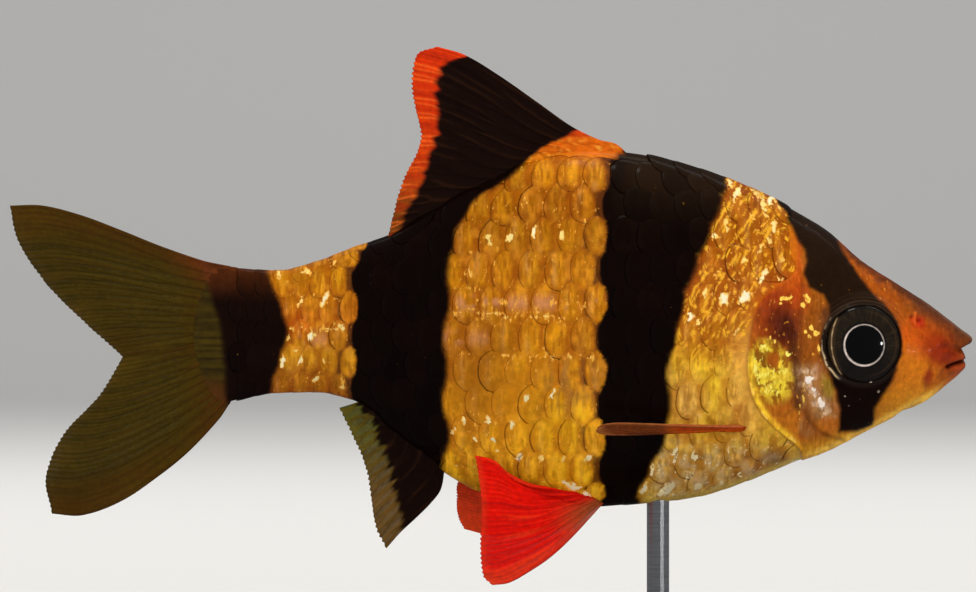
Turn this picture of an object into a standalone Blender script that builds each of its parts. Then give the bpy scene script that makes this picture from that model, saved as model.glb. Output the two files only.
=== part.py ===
# A tiger barb, life size, held on a small display stand.
# Metres, +Z up.  The head points along +X, the fish's left side is +Y, and the
# origin is on the table under the middle of the whole model.
import math

import bmesh
import bpy
import numpy as np
from mathutils import Matrix, Vector

MM = 0.001

# ---------------------------------------------------------------- sizes, mm
SNOUT_X = 32.34           # x of the tip of the snout
AXIS_Z = 29.9             # height of the body's long axis above the table
STANDARD_LENGTH = 49.7    # snout to the root of the tail fin
TAIL_TIP_S = 64.9         # snout to the tips of the tail fin
TAIL_SWING = 2.3          # how far the tail fin's end swings to the left
SWING_START_S = 26.0
GAP = 0.12                # clearance between neighbouring pieces
FIN_THICK = 0.5           # least thickness of a fin

EYE_S, EYE_H = 7.50, -0.92
EYE_RADIUS = 2.60
EYE_BULGE, EYE_DEPTH = 0.82, 1.65
EYE_SINK = 0.36           # how far the eye's rim plane lies under the cheek

BASE_LENGTH, BASE_WIDTH, BASE_THICK = 50.0, 32.0, 4.6
BASE_X = 7.0
ROD_X = 11.3
ROD_R = 0.75
ROD_TOP = 20.6
FOOT_R, FOOT_H = 2.3, 1.1

RINGS_HEAD, RINGS_TRUNK, RINGS_TAIL = 20, 16, 7
AROUND = 32

# Hull of the fish: distance from the snout, then back and belly above and
# below the long axis, then half the width.
HULL = (
    # s      back   belly  half width
    (0.00,  -0.50,  -0.78, 0.26),    # tip of the snout
    (0.35,  -0.20,  -1.95, 0.96),    # lips
    (0.75,   0.08,  -2.80, 1.30),
    (1.50,   0.67,  -3.48, 1.70),    # chin
    (3.00,   1.80,  -4.68, 2.22),    # nostrils
    (5.00,   3.08,  -5.76, 2.80),    # front of the eye
    (7.50,   4.72,  -7.02, 3.36),    # middle of the eye
    (9.50,   6.50,  -8.08, 3.72),    # back of the eye
    (12.00,  8.25,  -8.95, 4.08),    # nape
    (15.00,  9.72, -10.18, 4.36),    # gill opening
    (18.50, 11.00, -11.28, 4.50),    # shoulder
    (22.50, 11.98, -11.74, 4.48),
    (26.00, 12.30, -11.90, 4.25),    # front of the back fin
    (30.00, 11.42, -11.62, 3.80),
    (33.00, 10.05, -10.90, 3.32),    # vent
    (36.00,  8.35,  -9.15, 2.80),
    (39.00,  6.50,  -6.75, 2.28),    # end of the back fin
    (41.50,  5.62,  -4.80, 1.88),
    (44.00,  4.68,  -4.28, 1.56),    # tail stem
    (46.50,  4.10,  -4.32, 1.26),
    (49.70,  4.28,  -4.95, 0.80),    # root of the tail fin
)
# How pointed the section is at the back and at the belly: 0.5 is an ellipse.
KEEL = (
    # s     back  belly
    (0.0,   0.46, 0.46),
    (6.0,   0.44, 0.46),
    (12.0,  0.52, 0.48),
    (20.0,  0.62, 0.52),
    (28.0,  0.66, 0.60),
    (38.0,  0.60, 0.62),
    (49.7,  0.50, 0.50),
)


def px(x, y):
    """A point of the side view, drawn on a grid of 0.067 mm, as (s, h)."""
    return ((972.0 - x) * 0.067, (330.0 - y) * 0.067)


# ---------------------------------------------------------------- curves
def monotone(xs, ys, x):
    """Smooth curve through a table that never overshoots it."""
    xs, ys = np.asarray(xs, float), np.asarray(ys, float)
    d = np.diff(ys) / np.diff(xs)
    m = np.zeros(len(xs))
    h = np.diff(xs)
    for i in range(1, len(xs) - 1):
        if d[i - 1] * d[i] > 0:
            a, b = 2 * h[i] + h[i - 1], h[i] + 2 * h[i - 1]
            m[i] = (a + b) / (a / d[i - 1] + b / d[i])
    m[0], m[-1] = d[0], d[-1]
    x = np.clip(x, xs[0], xs[-1])
    i = np.clip(np.searchsorted(xs, x, side="right") - 1, 0, len(h) - 1)
    t = (x - xs[i]) / h[i]
    return (
        (1 + 2 * t) * (1 - t) ** 2 * ys[i]
        + t * (1 - t) ** 2 * h[i] * m[i]
        + t * t * (3 - 2 * t) * ys[i + 1]
        + t * t * (t - 1) * h[i] * m[i + 1]
    )


def through(points, t):
    """Point at t (0 to 1, by chord length) of a smooth curve through points."""
    p = np.asarray(points, float)
    c = np.concatenate([[0], np.cumsum(np.linalg.norm(np.diff(p, axis=0), axis=1))])
    c /= c[-1]
    m = np.empty_like(p)
    m[1:-1] = (p[2:] - p[:-2]) / (c[2:] - c[:-2])[:, None]
    m[0] = (p[1] - p[0]) / (c[1] - c[0])
    m[-1] = (p[-1] - p[-2]) / (c[-1] - c[-2])
    t = np.atleast_1d(np.clip(t, 0, 1))
    i = np.clip(np.searchsorted(c, t, side="right") - 1, 0, len(p) - 2)
    w = (c[i + 1] - c[i])[:, None]
    q = ((t - c[i])[:, None]) / w
    return (
        (1 + 2 * q) * (1 - q) ** 2 * p[i]
        + q * (1 - q) ** 2 * w * m[i]
        + q * q * (3 - 2 * q) * p[i + 1]
        + q * q * (q - 1) * w * m[i + 1]
    )


H, K = np.array(HULL), np.array(KEEL)


def back(s):
    return monotone(H[:, 0], H[:, 1], s)


def belly(s):
    return monotone(H[:, 0], H[:, 2], s)


def half_width(s):
    return monotone(H[:, 0], H[:, 3], s)


def swing(s):
    t = np.clip((np.asarray(s, float) - SWING_START_S) / (TAIL_TIP_S - SWING_START_S), 0, None)
    return TAIL_SWING * t * t


def hull_point(s, a, grow=0.0):
    """Skin at distance s and angle a round the section (0 left, pi/2 back)."""
    top, low, w = back(s) + grow, belly(s) - grow, half_width(s) + grow
    k = np.where(np.sin(a) > 0, monotone(K[:, 0], K[:, 1], s), monotone(K[:, 0], K[:, 2], s))
    mid, half = (top + low) / 2, (top - low) / 2
    y = w * np.sign(np.cos(a)) * np.abs(np.cos(a)) ** (2 * k)
    return SNOUT_X - s, y + swing(s), AXIS_Z + mid + half * np.sin(a)


def skin_y(s, h, grow=0.0):
    """Half width of the fish at distance s and height h above the axis."""
    top, low, w = back(s) + grow, belly(s) - grow, half_width(s) + grow
    q = np.clip((h - (top + low) / 2) / ((top - low) / 2), -1, 1)
    k = np.where(q > 0, monotone(K[:, 0], K[:, 1], s), monotone(K[:, 0], K[:, 2], s))
    return w * (1 - q * q) ** k


# ---------------------------------------------------------------- helpers
for old in list(bpy.data.objects):
    bpy.data.objects.remove(old, do_unlink=True)

fish = bpy.data.collections.new("tiger_barb")
tools = bpy.data.collections.new("cutters")
bpy.context.scene.collection.children.link(fish)
bpy.context.scene.collection.children.link(tools)


def material(name, colour, rough, metal=0.0):
    m = bpy.data.materials.new(name)
    m.use_nodes = True
    b = m.node_tree.nodes["Principled BSDF"]
    b.inputs["Base Color"].default_value = (*colour, 1)
    b.inputs["Roughness"].default_value = rough
    b.inputs["Metallic"].default_value = metal
    return m


GOLD = material("gold_flank", (0.72, 0.34, 0.04), 0.35, 0.3)
HEAD = material("orange_head", (0.70, 0.22, 0.03), 0.4, 0.1)
CHEEK = material("gold_gill_cover", (0.80, 0.42, 0.06), 0.3, 0.4)
JAW = material("red_jaw", (0.55, 0.08, 0.02), 0.4)
BLACK = material("black_fin", (0.02, 0.012, 0.01), 0.45)
RED = material("red_fin", (0.80, 0.03, 0.01), 0.45)
OLIVE = material("clear_fin", (0.30, 0.20, 0.05), 0.4)
EYE = material("dark_eye", (0.01, 0.01, 0.012), 0.08)
WOOD = material("dark_wood", (0.06, 0.03, 0.018), 0.4)
STEEL = material("steel_rod", (0.62, 0.62, 0.63), 0.25, 1.0)


def add(name, bm, mat, cutter=False, smooth=True):
    bmesh.ops.recalc_face_normals(bm, faces=bm.faces)
    mesh = bpy.data.meshes.new(name)
    bm.to_mesh(mesh)
    bm.free()
    ob = bpy.data.objects.new(name, mesh)
    if cutter:
        tools.objects.link(ob)
        ob.hide_render = True
        ob.display_type = "WIRE"
    else:
        fish.objects.link(ob)
        mesh.materials.append(mat)
        if smooth:
            mesh.shade_smooth()
            mesh.set_sharp_from_angle(angle=math.radians(40))
    return ob


def boolean(ob, operation, *others):
    for other in others:
        m = ob.modifiers.new(operation.lower() + "_" + other.name, "BOOLEAN")
        m.operation, m.object, m.solver = operation, other, "EXACT"
    return ob


def hull(name, mat, stations, grow=0.0, cutter=False, around=AROUND):
    """Closed loft through the sections at these stations."""
    bm = bmesh.new()
    rings = []
    for s in stations:
        a = np.arange(around) * 2 * math.pi / around
        x, y, z = hull_point(np.full(around, s), a, grow)
        rings.append([bm.verts.new((xx * MM, yy * MM, zz * MM)) for xx, yy, zz in zip(x, y, z)])
    for r0, r1 in zip(rings, rings[1:]):
        for i in range(around):
            j = (i + 1) % around
            bm.faces.new((r0[i], r0[j], r1[j], r1[i]))
    bm.faces.new(rings[0])
    bm.faces.new(rings[-1])
    return add(name, bm, mat, cutter)


def prism(name, outline, y0, y1):
    """A cutter: an outline of the side view, (s, h), drawn out from y0 to y1."""
    bm = bmesh.new()
    face = bm.faces.new([
        bm.verts.new(((SNOUT_X - s) * MM, y0 * MM, (AXIS_Z + h) * MM)) for s, h in outline
    ])
    out = bmesh.ops.extrude_face_region(bm, geom=[face])
    moved = [g for g in out["geom"] if isinstance(g, bmesh.types.BMVert)]
    bmesh.ops.translate(bm, verts=moved, vec=Vector((0, (y1 - y0) * MM, 0)))
    return add(name, bm, None, cutter=True)


def shifted(outline, ds, dh=0.0):
    return [(s + ds, h + dh) for s, h in outline]


# ---------------------------------------------------------------- the body
# Edge of the gill opening: down from the nape, round the gill cover's back
# edge and down to the throat.
GILL_TOP, GILL_BACK, GILL_LOW = px(793, 272), px(744.5, 362), px(786, 438)
gill_edge = [
    px(800, 180), px(797, 225), GILL_TOP, px(777, 285), px(759, 300), px(749, 325),
    GILL_BACK, px(747, 388), px(756, 408), px(769, 424), GILL_LOW, px(800, 452), px(806, 500),
]
gill_line = [tuple(p) for p in through(gill_edge, np.linspace(0, 1, 34))]
BOX_TOP, BOX_LOW = 20.0, -20.0
front_box = [(gill_line[-1][0], BOX_LOW), (-3.0, BOX_LOW), (-3.0, BOX_TOP), (gill_line[0][0], BOX_TOP)]
back_box = [(gill_line[-1][0], BOX_LOW), (70.0, BOX_LOW), (70.0, BOX_TOP), (gill_line[0][0], BOX_TOP)]
TAIL_CUT_S = 40.6


def spread(a, b, n, ease=1.0):
    return [a + (b - a) * (i / (n - 1)) ** ease for i in range(n)]


head_s = spread(0.0, 15.6, RINGS_HEAD, 1.55)
trunk_s = spread(11.2, TAIL_CUT_S - GAP / 2, RINGS_TRUNK)
tail_s = spread(TAIL_CUT_S + GAP / 2, STANDARD_LENGTH, RINGS_TAIL)

head_cut = prism("cut_head", gill_line + front_box, -12, 12)
trunk_cut = prism("cut_trunk", shifted(gill_line + back_box, GAP), -12, 12)

# Gill covers: plates let into the sides of the head.
FRONT_GILL = [px(799, 288), px(797, 320), px(797, 360), px(799, 398), px(806, 420), px(822, 436)]
LOW_GILL = [px(812, 446), px(800, 449)]
gill_back = [p for p in gill_line if px(0, 278)[1] >= p[1] >= px(0, 446)[1]]
plate = gill_back + LOW_GILL[::-1] + [tuple(p) for p in through(FRONT_GILL, np.linspace(1, 0, 10))]
COVER_INSIDE = 2.5


def grown(outline, by):
    """The outline moved outwards by about by, from its middle."""
    c = np.mean(outline, axis=0)
    out = []
    for p in outline:
        d = np.array(p) - c
        out.append(tuple(np.array(p) + d / np.linalg.norm(d) * by))
    return out


plates = {
    side: (
        prism(f"cut_cover_{side}", plate, sign * COVER_INSIDE, sign * 12),
        prism(f"cut_cover_seat_{side}", grown(plate, GAP), sign * (COVER_INSIDE - GAP), sign * 12),
    )
    for side, sign in (("left", 1), ("right", -1))
}

# Lower jaw: everything under the mouth slit, back to the throat.
MOUTH_CORNER = px(946, 366)
jaw_line = [px(985, 356.5), px(964, 360.5), MOUTH_CORNER, px(935, 378), px(921, 391), px(903, 430)]
jaw_top = [tuple(p) for p in through(jaw_line, np.linspace(0, 1, 14))]
jaw_cut = prism("cut_jaw", shifted(jaw_top, -GAP * 0.4, -GAP * 0.8) + [(-3.0, px(0, 430)[1])], -6, 6)
jaw_seat = prism("cut_jaw_seat", jaw_top + [(-3.0, px(0, 430)[1])], -6, 6)


# Eyes: lens-shaped balls whose rim planes follow the slope of the cheeks.
def eye_ball(name, side, grow, mat, cutter=False, segments=20, rings=9):
    bm = bmesh.new()
    bmesh.ops.create_uvsphere(bm, u_segments=segments, v_segments=rings, radius=1.0)
    for v in bm.verts:
        deep = EYE_BULGE if v.co.z > 0 else EYE_DEPTH
        v.co = Vector((v.co.x * (EYE_RADIUS + grow), v.co.y * (EYE_RADIUS + grow), v.co.z * (deep + grow)))
    slope = math.atan(float(half_width(EYE_S + 1.5) - half_width(EYE_S - 1.5)) / 3.0)
    y = float(skin_y(EYE_S, EYE_H)) - EYE_SINK
    turn = Matrix.Rotation(side * slope, 4, "Z").inverted() @ Matrix.Rotation(-side * math.pi / 2, 4, "X")
    place = Matrix.Translation(((SNOUT_X - EYE_S), side * y, AXIS_Z + EYE_H))
    bm.transform(Matrix.Scale(MM, 4) @ place @ turn)
    return add(name, bm, mat, cutter)


sockets = [
    eye_ball("cut_socket_left", 1, GAP, None, True),
    eye_ball("cut_socket_right", -1, GAP, None, True),
]

# Groove between the snout's tip and the upper lip.
bm = bmesh.new()
bmesh.ops.create_cone(bm, cap_ends=True, segments=12, radius1=0.30 * MM, radius2=0.30 * MM, depth=8 * MM)
bm.transform(
    Matrix.Translation(((SNOUT_X + 0.02) * MM, 0, (AXIS_Z - 1.42) * MM)) @ Matrix.Rotation(math.pi / 2, 4, "X")
)
lip_groove = add("cut_lip_groove", bm, None, cutter=True)

# Nostrils: a shallow pit on each side of the snout.
NOSTRIL_S, NOSTRIL_H, NOSTRIL_R = 3.95, 0.85, 0.34
nostrils = []
for side, sign in (("left", 1), ("right", -1)):
    bm = bmesh.new()
    bmesh.ops.create_icosphere(bm, subdivisions=1, radius=NOSTRIL_R * MM)
    bm.transform(Matrix.Translation((
        (SNOUT_X - NOSTRIL_S) * MM,
        sign * (float(skin_y(NOSTRIL_S, NOSTRIL_H)) + 0.12) * MM,
        (AXIS_Z + NOSTRIL_H) * MM,
    )))
    nostrils.append(add(f"cut_nostril_{side}", bm, None, cutter=True))

head = hull("head", HEAD, head_s)
boolean(head, "INTERSECT", head_cut)
boolean(head, "DIFFERENCE", jaw_seat, plates["left"][1], plates["right"][1], *sockets, *nostrils, lip_groove)

jaw = hull("lower_jaw", JAW, [s for s in head_s if s < 7.0])
boolean(jaw, "INTERSECT", jaw_cut)

for side in ("left", "right"):
    cover = hull(f"gill_cover_{side}", CHEEK, [s for s in head_s if s > 8.5])
    boolean(cover, "INTERSECT", plates[side][0])

# The rod's hole in the belly.
bm = bmesh.new()
bmesh.ops.create_cone(bm, cap_ends=True, segments=16, radius1=(ROD_R + GAP) * MM, radius2=(ROD_R + GAP) * MM,
                      depth=6 * MM)
bm.transform(Matrix.Translation((ROD_X * MM, 0, (ROD_TOP + GAP - 3) * MM)))
rod_hole = add("cut_rod_hole", bm, None, cutter=True)

trunk = hull("trunk", GOLD, trunk_s)
boolean(trunk, "INTERSECT", trunk_cut)
boolean(trunk, "DIFFERENCE", rod_hole)

tail = hull("tail_stem", GOLD, tail_s)

eye_ball("eye_left", 1, 0.0, EYE)
eye_ball("eye_right", -1, 0.0, EYE)

# ---------------------------------------------------------------- fins
body_core = hull("cut_body", None, spread(10.0, STANDARD_LENGTH + GAP, 34), grow=GAP, cutter=True, around=48)


def coons(base, margin, lead, trail, u, v):
    """Sheet between a root, an outer margin, a front ray and a last ray."""
    b, m = through(base, u)[:, None, :], through(margin, u)[:, None, :]
    f, t = through(lead, v)[None, :, :], through(trail, v)[None, :, :]
    uu, vv = u[:, None, None], v[None, :, None]
    return (
        (1 - vv) * b + vv * m + (1 - uu) * f + uu * t
        - (1 - uu) * (1 - vv) * b[:1] - uu * (1 - vv) * b[-1:]
        - (1 - uu) * vv * m[:1] - uu * vv * m[-1:]
    )


def fin(name, mat, rays, along, base, margin, lead, trail, lateral, thick=FIN_THICK,
        root_thick=0.8, ribs=0.1, scallop=0.12, side=1):
    """A fin plate with a rib along each ray and a scalloped outer margin.

    The curves are (s, h) in the side view; lateral(s, h, u, v) gives y."""
    u, v = np.linspace(0, 1, 2 * rays + 1), np.linspace(0, 1, along + 1)
    grid = coons(base, margin, lead, trail, u, v)
    rib = np.where(np.arange(len(u)) % 2 == 0, 1.0, 0.0)[:, None]
    step = grid[:, -1] - grid[:, -2]
    step /= np.maximum(np.linalg.norm(step, axis=1), 1e-6)[:, None]
    grid[:, -1] -= step * scallop * (1 - rib)
    s, h = grid[..., 0], grid[..., 1]
    y = lateral(s, h, u[:, None] + 0 * s, v[None, :] + 0 * s)
    mid = np.stack([SNOUT_X - s, y, AXIS_Z + h], -1)
    du, dv = np.gradient(mid, axis=0), np.gradient(mid, axis=1)
    n = np.cross(du, dv)
    n /= np.maximum(np.linalg.norm(n, axis=-1), 1e-9)[..., None]
    inner = np.sqrt(4 * u * (1 - u))[:, None]
    t = thick + (root_thick - thick) * inner * (1 - v[None, :]) ** 2 + ribs * rib * (1 - 0.5 * v[None, :])
    bm = bmesh.new()
    faces = []
    sheets = []
    for sign in (1, -1):
        pts = (mid + sign * n * t[..., None] / 2) * MM
        sheets.append([[bm.verts.new(p) for p in row] for row in pts])
    a, b = sheets
    nu, nv = len(u), len(v)
    for i in range(nu - 1):
        for j in range(nv - 1):
            bm.faces.new((a[i][j], a[i + 1][j], a[i + 1][j + 1], a[i][j + 1]))
            bm.faces.new((b[i][j], b[i][j + 1], b[i + 1][j + 1], b[i + 1][j]))
    edge = (
        [(i, 0) for i in range(nu)] + [(nu - 1, j) for j in range(1, nv)]
        + [(i, nv - 1) for i in range(nu - 2, -1, -1)] + [(0, j) for j in range(nv - 2, 0, -1)]
    )
    for (i0, j0), (i1, j1) in zip(edge, edge[1:] + edge[:1]):
        bm.faces.new((a[i0][j0], b[i0][j0], b[i1][j1], a[i1][j1]))
    return add(name, bm, mat)


def on_midline(s, h, u, v):
    """Upright fins stand on the midline, with a slight wave towards the rim."""
    return swing(s) + 0.25 * v * v * np.sin(5.0 * u)


def tail_line(s, h, u, v):
    return swing(s) + 0.35 * v * v * np.sin(0.38 * h + 0.6)


BACK_ROOT = [(s, float(back(s)) - 0.75) for s in (22.6, 27.0, 31.5, 36.3)]
boolean(fin(
    "dorsal_fin", BLACK, 11, 6,
    base=BACK_ROOT,
    margin=[px(437, 46.5), px(417, 54), px(411, 86), px(420, 140), px(401, 184), px(386, 233)],
    lead=[BACK_ROOT[0], px(617, 144.5), px(599, 139.5), px(572, 126.5), px(540, 104), px(500, 76), px(465, 55), px(437, 46.5)],
    trail=[BACK_ROOT[-1], px(407, 222), px(386, 233)],
    lateral=on_midline, root_thick=1.0,
), "DIFFERENCE", body_core)

VENT_ROOT = [(s, float(belly(s)) + 0.7) for s in (35.3, 38.0, 40.6)]
boolean(fin(
    "anal_fin", BLACK, 7, 6,
    base=VENT_ROOT,
    margin=[px(386, 549), px(376, 530), px(371, 500), px(364, 464), px(351, 434), px(339, 408)],
    lead=[VENT_ROOT[0], px(441, 489), px(431, 503), px(416, 518), px(400, 533), px(386, 549)],
    trail=[VENT_ROOT[-1], px(352, 404), px(339, 408)],
    lateral=on_midline, root_thick=0.9,
), "DIFFERENCE", body_core)

FORK = px(121.5, 357)
ROOT_MID = px(239, 335)
boolean(fin(
    "caudal_fin_upper_lobe", OLIVE, 9, 7,
    base=[px(240, 283), px(240, 303), (ROOT_MID[0], ROOT_MID[1] + GAP / 2)],
    margin=[px(7, 206), px(14, 240), px(42, 283), px(82, 323), (FORK[0], FORK[1] + GAP / 2)],
    lead=[px(240, 283), px(229, 267.5), px(200, 259.5), px(160, 246), px(120, 230), px(80, 215), px(40, 205), px(7, 205)],
    trail=[(ROOT_MID[0], ROOT_MID[1] + GAP / 2), (FORK[0], FORK[1] + GAP / 2)],
    lateral=tail_line,
), "DIFFERENCE", body_core)
boolean(fin(
    "caudal_fin_lower_lobe", OLIVE, 9, 7,
    base=[(ROOT_MID[0], ROOT_MID[1] - GAP / 2), px(240, 368), px(241, 386)],
    margin=[(FORK[0], FORK[1] - GAP / 2), px(96, 397), px(60, 436), px(43, 478), px(49, 514)],
    lead=[(ROOT_MID[0], ROOT_MID[1] - GAP / 2), (FORK[0], FORK[1] - GAP / 2)],
    trail=[px(241, 386), px(229.5, 403), px(218, 420), px(188, 452), px(160, 475), px(120, 502), px(80, 516.5), px(49, 515)],
    lateral=tail_line,
), "DIFFERENCE", body_core)


# Pelvic fins: the right one is spread and lowered, the left one is held up
# closer to the flank.
PELVIC = dict(
    base=[px(603, 503), px(584, 494)],
    margin=[px(492, 582), px(483, 573), px(480, 545), px(481, 500), px(478, 472), px(475, 454)],
    lead=[px(603, 503), px(572, 536), px(551, 555), px(530, 569), px(509, 580), px(492, 582)],
    trail=[px(584, 494), px(557, 488), px(530, 482), px(509, 472), px(494, 459), px(475, 454)],
)


def turned(curve, pivot, degrees, squeeze=1.0):
    """The curve turned about pivot in the side view, and narrowed."""
    c, s = math.cos(math.radians(degrees)), math.sin(math.radians(degrees))
    out = []
    for a, b in curve:
        da, db = a - pivot[0], b - pivot[1]
        out.append((pivot[0] + c * da - s * db, pivot[1] + (s * da + c * db) * squeeze))
    return out


def pelvic_lateral(side, flare):
    def lateral(s, h, u, v):
        fan = 1.0 + flare * v ** 1.2 * (1 - 0.35 * u) + 0.35 * np.sin(math.pi * u) * v
        clear = np.where(h > belly(s) - 0.3, skin_y(s, h) + 0.55, 0.0)
        blend = np.minimum(v * 3.0, 1.0)
        return side * np.maximum(fan, clear * blend + (1 - blend) * fan) + swing(s)
    return lateral


boolean(fin("pelvic_fin_right", RED, 7, 5, lateral=pelvic_lateral(-1, 3.0), side=-1, **PELVIC),
        "DIFFERENCE", body_core)
PIVOT = px(603, 505)
boolean(fin("pelvic_fin_left", RED, 7, 5, lateral=pelvic_lateral(1, 2.0),
            **{k: turned(c, PIVOT, 24, 0.9) for k, c in PELVIC.items()}),
        "DIFFERENCE", body_core)

# Pectoral fins: blades held level, out from just behind the gill covers.
PECT_BASE = (px(743, 423), px(742, 431))


def pectoral(name, side):
    tip_y, inner_y = 7.7, 4.5
    base_y = 3.3

    def lateral(s, h, u, v):
        reach = (tip_y - base_y) * (1 - u) ** 0.8 + (inner_y - base_y) * u
        y = base_y + reach * v ** (0.85 + 0.35 * u)
        return side * np.maximum(y, np.where(v > 0.25, skin_y(s, h) + 0.5, y))

    return boolean(fin(
        name, OLIVE, 5, 6,
        base=[PECT_BASE[0], PECT_BASE[1]],
        margin=[px(600, 423), px(594, 427), px(604, 431), px(630, 433.5), px(672, 434.5)],
        lead=[PECT_BASE[0], px(690, 423.5), px(640, 422), px(600, 423)],
        trail=[PECT_BASE[1], px(710, 433), px(672, 434.5)],
        lateral=lateral, root_thick=0.55, ribs=0.08, scallop=0.1,
    ), "DIFFERENCE", body_core)


pectoral("pectoral_fin_left", 1)
pectoral("pectoral_fin_right", -1)

# ---------------------------------------------------------------- the stand
bm = bmesh.new()
bmesh.ops.create_cone(bm, cap_ends=True, segments=40, radius1=0.5, radius2=0.5, depth=1.0)
bm.transform(
    Matrix.Translation((BASE_X * MM, 0, BASE_THICK / 2 * MM))
    @ Matrix.Diagonal((BASE_LENGTH * MM, BASE_WIDTH * MM, BASE_THICK * MM, 1))
)
base = add("stand_base", bm, WOOD)
bevel = base.modifiers.new("eased_rim", "BEVEL")
bevel.width, bevel.segments, bevel.limit_method, bevel.angle_limit = 0.6 * MM, 2, "ANGLE", math.radians(50)

bm = bmesh.new()
bmesh.ops.create_cone(bm, cap_ends=True, segments=16, radius1=(ROD_R + GAP) * MM, radius2=(ROD_R + GAP) * MM,
                      depth=4 * MM)
bm.transform(Matrix.Translation((ROD_X * MM, 0, (BASE_THICK - 2.4 + 2) * MM)))
boolean(base, "DIFFERENCE", add("cut_base_hole", bm, None, cutter=True))

# The rod is turned: a tenon in the base, a foot on it, a slim shaft and a
# round end inside the belly.
profile = [
    (0.0, ROD_TOP), (0.45, ROD_TOP - 0.1), (ROD_R, ROD_TOP - 0.45), (ROD_R, BASE_THICK + GAP + FOOT_H + 0.5),
    (ROD_R + 0.25, BASE_THICK + GAP + FOOT_H), (FOOT_R - 0.3, BASE_THICK + GAP + FOOT_H - 0.25),
    (FOOT_R, BASE_THICK + GAP + FOOT_H - 0.6), (FOOT_R, BASE_THICK + GAP), (ROD_R, BASE_THICK + GAP),
    (ROD_R, BASE_THICK - 2.2), (0.0, BASE_THICK - 2.2),
]
mesh = bpy.data.meshes.new("stand_rod")
mesh.from_pydata([(r * MM, 0, z * MM) for r, z in profile], [(i, i + 1) for i in range(len(profile) - 1)], [])
rod = bpy.data.objects.new("stand_rod", mesh)
fish.objects.link(rod)
rod.location = (ROD_X * MM, 0, 0)
mesh.materials.append(STEEL)
screw = rod.modifiers.new("turned", "SCREW")
screw.steps = screw.render_steps = 18
screw.use_merge_vertices, screw.merge_threshold = True, 0.00001
screw.use_smooth_shade = True
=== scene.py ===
# A tiger barb, life size, on its display stand: skin, scales, fins, eyes and light.
# Metres, +Z up.  The head points along +X and the fish's left side is +Y.
import math

import bpy
import numpy as np
from mathutils import Matrix, Vector


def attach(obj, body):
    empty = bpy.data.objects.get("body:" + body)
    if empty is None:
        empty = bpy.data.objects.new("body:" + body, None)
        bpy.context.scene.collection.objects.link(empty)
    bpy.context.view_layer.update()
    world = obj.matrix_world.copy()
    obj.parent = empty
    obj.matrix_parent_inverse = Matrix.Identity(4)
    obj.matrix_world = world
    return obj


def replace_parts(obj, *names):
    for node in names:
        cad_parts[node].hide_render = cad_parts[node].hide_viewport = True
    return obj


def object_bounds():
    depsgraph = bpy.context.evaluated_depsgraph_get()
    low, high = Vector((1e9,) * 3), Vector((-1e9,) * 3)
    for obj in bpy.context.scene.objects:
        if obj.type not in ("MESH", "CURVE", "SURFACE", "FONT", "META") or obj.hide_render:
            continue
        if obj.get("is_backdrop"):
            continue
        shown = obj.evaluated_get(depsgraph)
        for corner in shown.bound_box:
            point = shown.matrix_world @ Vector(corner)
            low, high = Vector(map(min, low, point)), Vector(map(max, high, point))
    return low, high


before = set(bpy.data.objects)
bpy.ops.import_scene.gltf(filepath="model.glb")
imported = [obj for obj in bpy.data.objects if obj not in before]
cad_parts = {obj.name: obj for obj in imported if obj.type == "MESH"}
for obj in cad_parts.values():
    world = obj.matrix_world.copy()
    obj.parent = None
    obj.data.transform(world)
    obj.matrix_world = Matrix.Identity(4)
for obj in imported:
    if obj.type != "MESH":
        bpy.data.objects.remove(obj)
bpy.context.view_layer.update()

MM = 0.001
scene = bpy.context.scene

# ---------------------------------------------------------------- sizes, mm
SNOUT_X = 32.34
AXIS_Z = 29.9
STANDARD_LENGTH = 49.7
TAIL_TIP_S = 64.9
TAIL_SWING = 2.3
SWING_START_S = 26.0
EYE_S, EYE_H = 7.50, -0.92
EYE_RADIUS = 2.60
EYE_BULGE, EYE_DEPTH = 0.82, 1.65
EYE_SINK = 0.36
COAT = 0.17               # how far the skin lies under the outline where scales cover it

HULL = (
    # s      back   belly  half width
    (0.00,  -0.50,  -0.78, 0.26),    # tip of the snout
    (0.35,  -0.20,  -1.95, 0.96),    # lips
    (0.75,   0.08,  -2.80, 1.30),
    (1.50,   0.67,  -3.48, 1.70),    # chin
    (3.00,   1.80,  -4.68, 2.22),    # nostrils
    (5.00,   3.08,  -5.76, 2.80),    # front of the eye
    (7.50,   4.72,  -7.02, 3.36),    # middle of the eye
    (9.50,   6.50,  -8.08, 3.72),    # back of the eye
    (12.00,  8.25,  -8.95, 4.08),    # nape
    (15.00,  9.72, -10.18, 4.36),    # gill opening
    (18.50, 11.00, -11.28, 4.50),    # shoulder
    (22.50, 11.98, -11.74, 4.48),
    (26.00, 12.30, -11.90, 4.25),    # front of the back fin
    (30.00, 11.42, -11.62, 3.80),
    (33.00, 10.05, -10.90, 3.32),    # vent
    (36.00,  8.35,  -9.15, 2.80),
    (39.00,  6.50,  -6.75, 2.28),    # end of the back fin
    (41.50,  5.62,  -4.80, 1.88),
    (44.00,  4.68,  -4.28, 1.56),    # tail stem
    (46.50,  4.10,  -4.32, 1.26),
    (49.70,  4.28,  -4.95, 0.80),    # root of the tail fin
)
KEEL = (
    # s     back  belly
    (0.0,   0.46, 0.46),
    (6.0,   0.44, 0.46),
    (12.0,  0.52, 0.48),
    (20.0,  0.62, 0.52),
    (28.0,  0.66, 0.60),
    (38.0,  0.60, 0.62),
    (49.7,  0.50, 0.50),
)


def px(x, y):
    """A point of the side view, drawn on a grid of 0.067 mm, as (s, h)."""
    return ((972.0 - x) * 0.067, (330.0 - y) * 0.067)


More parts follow.
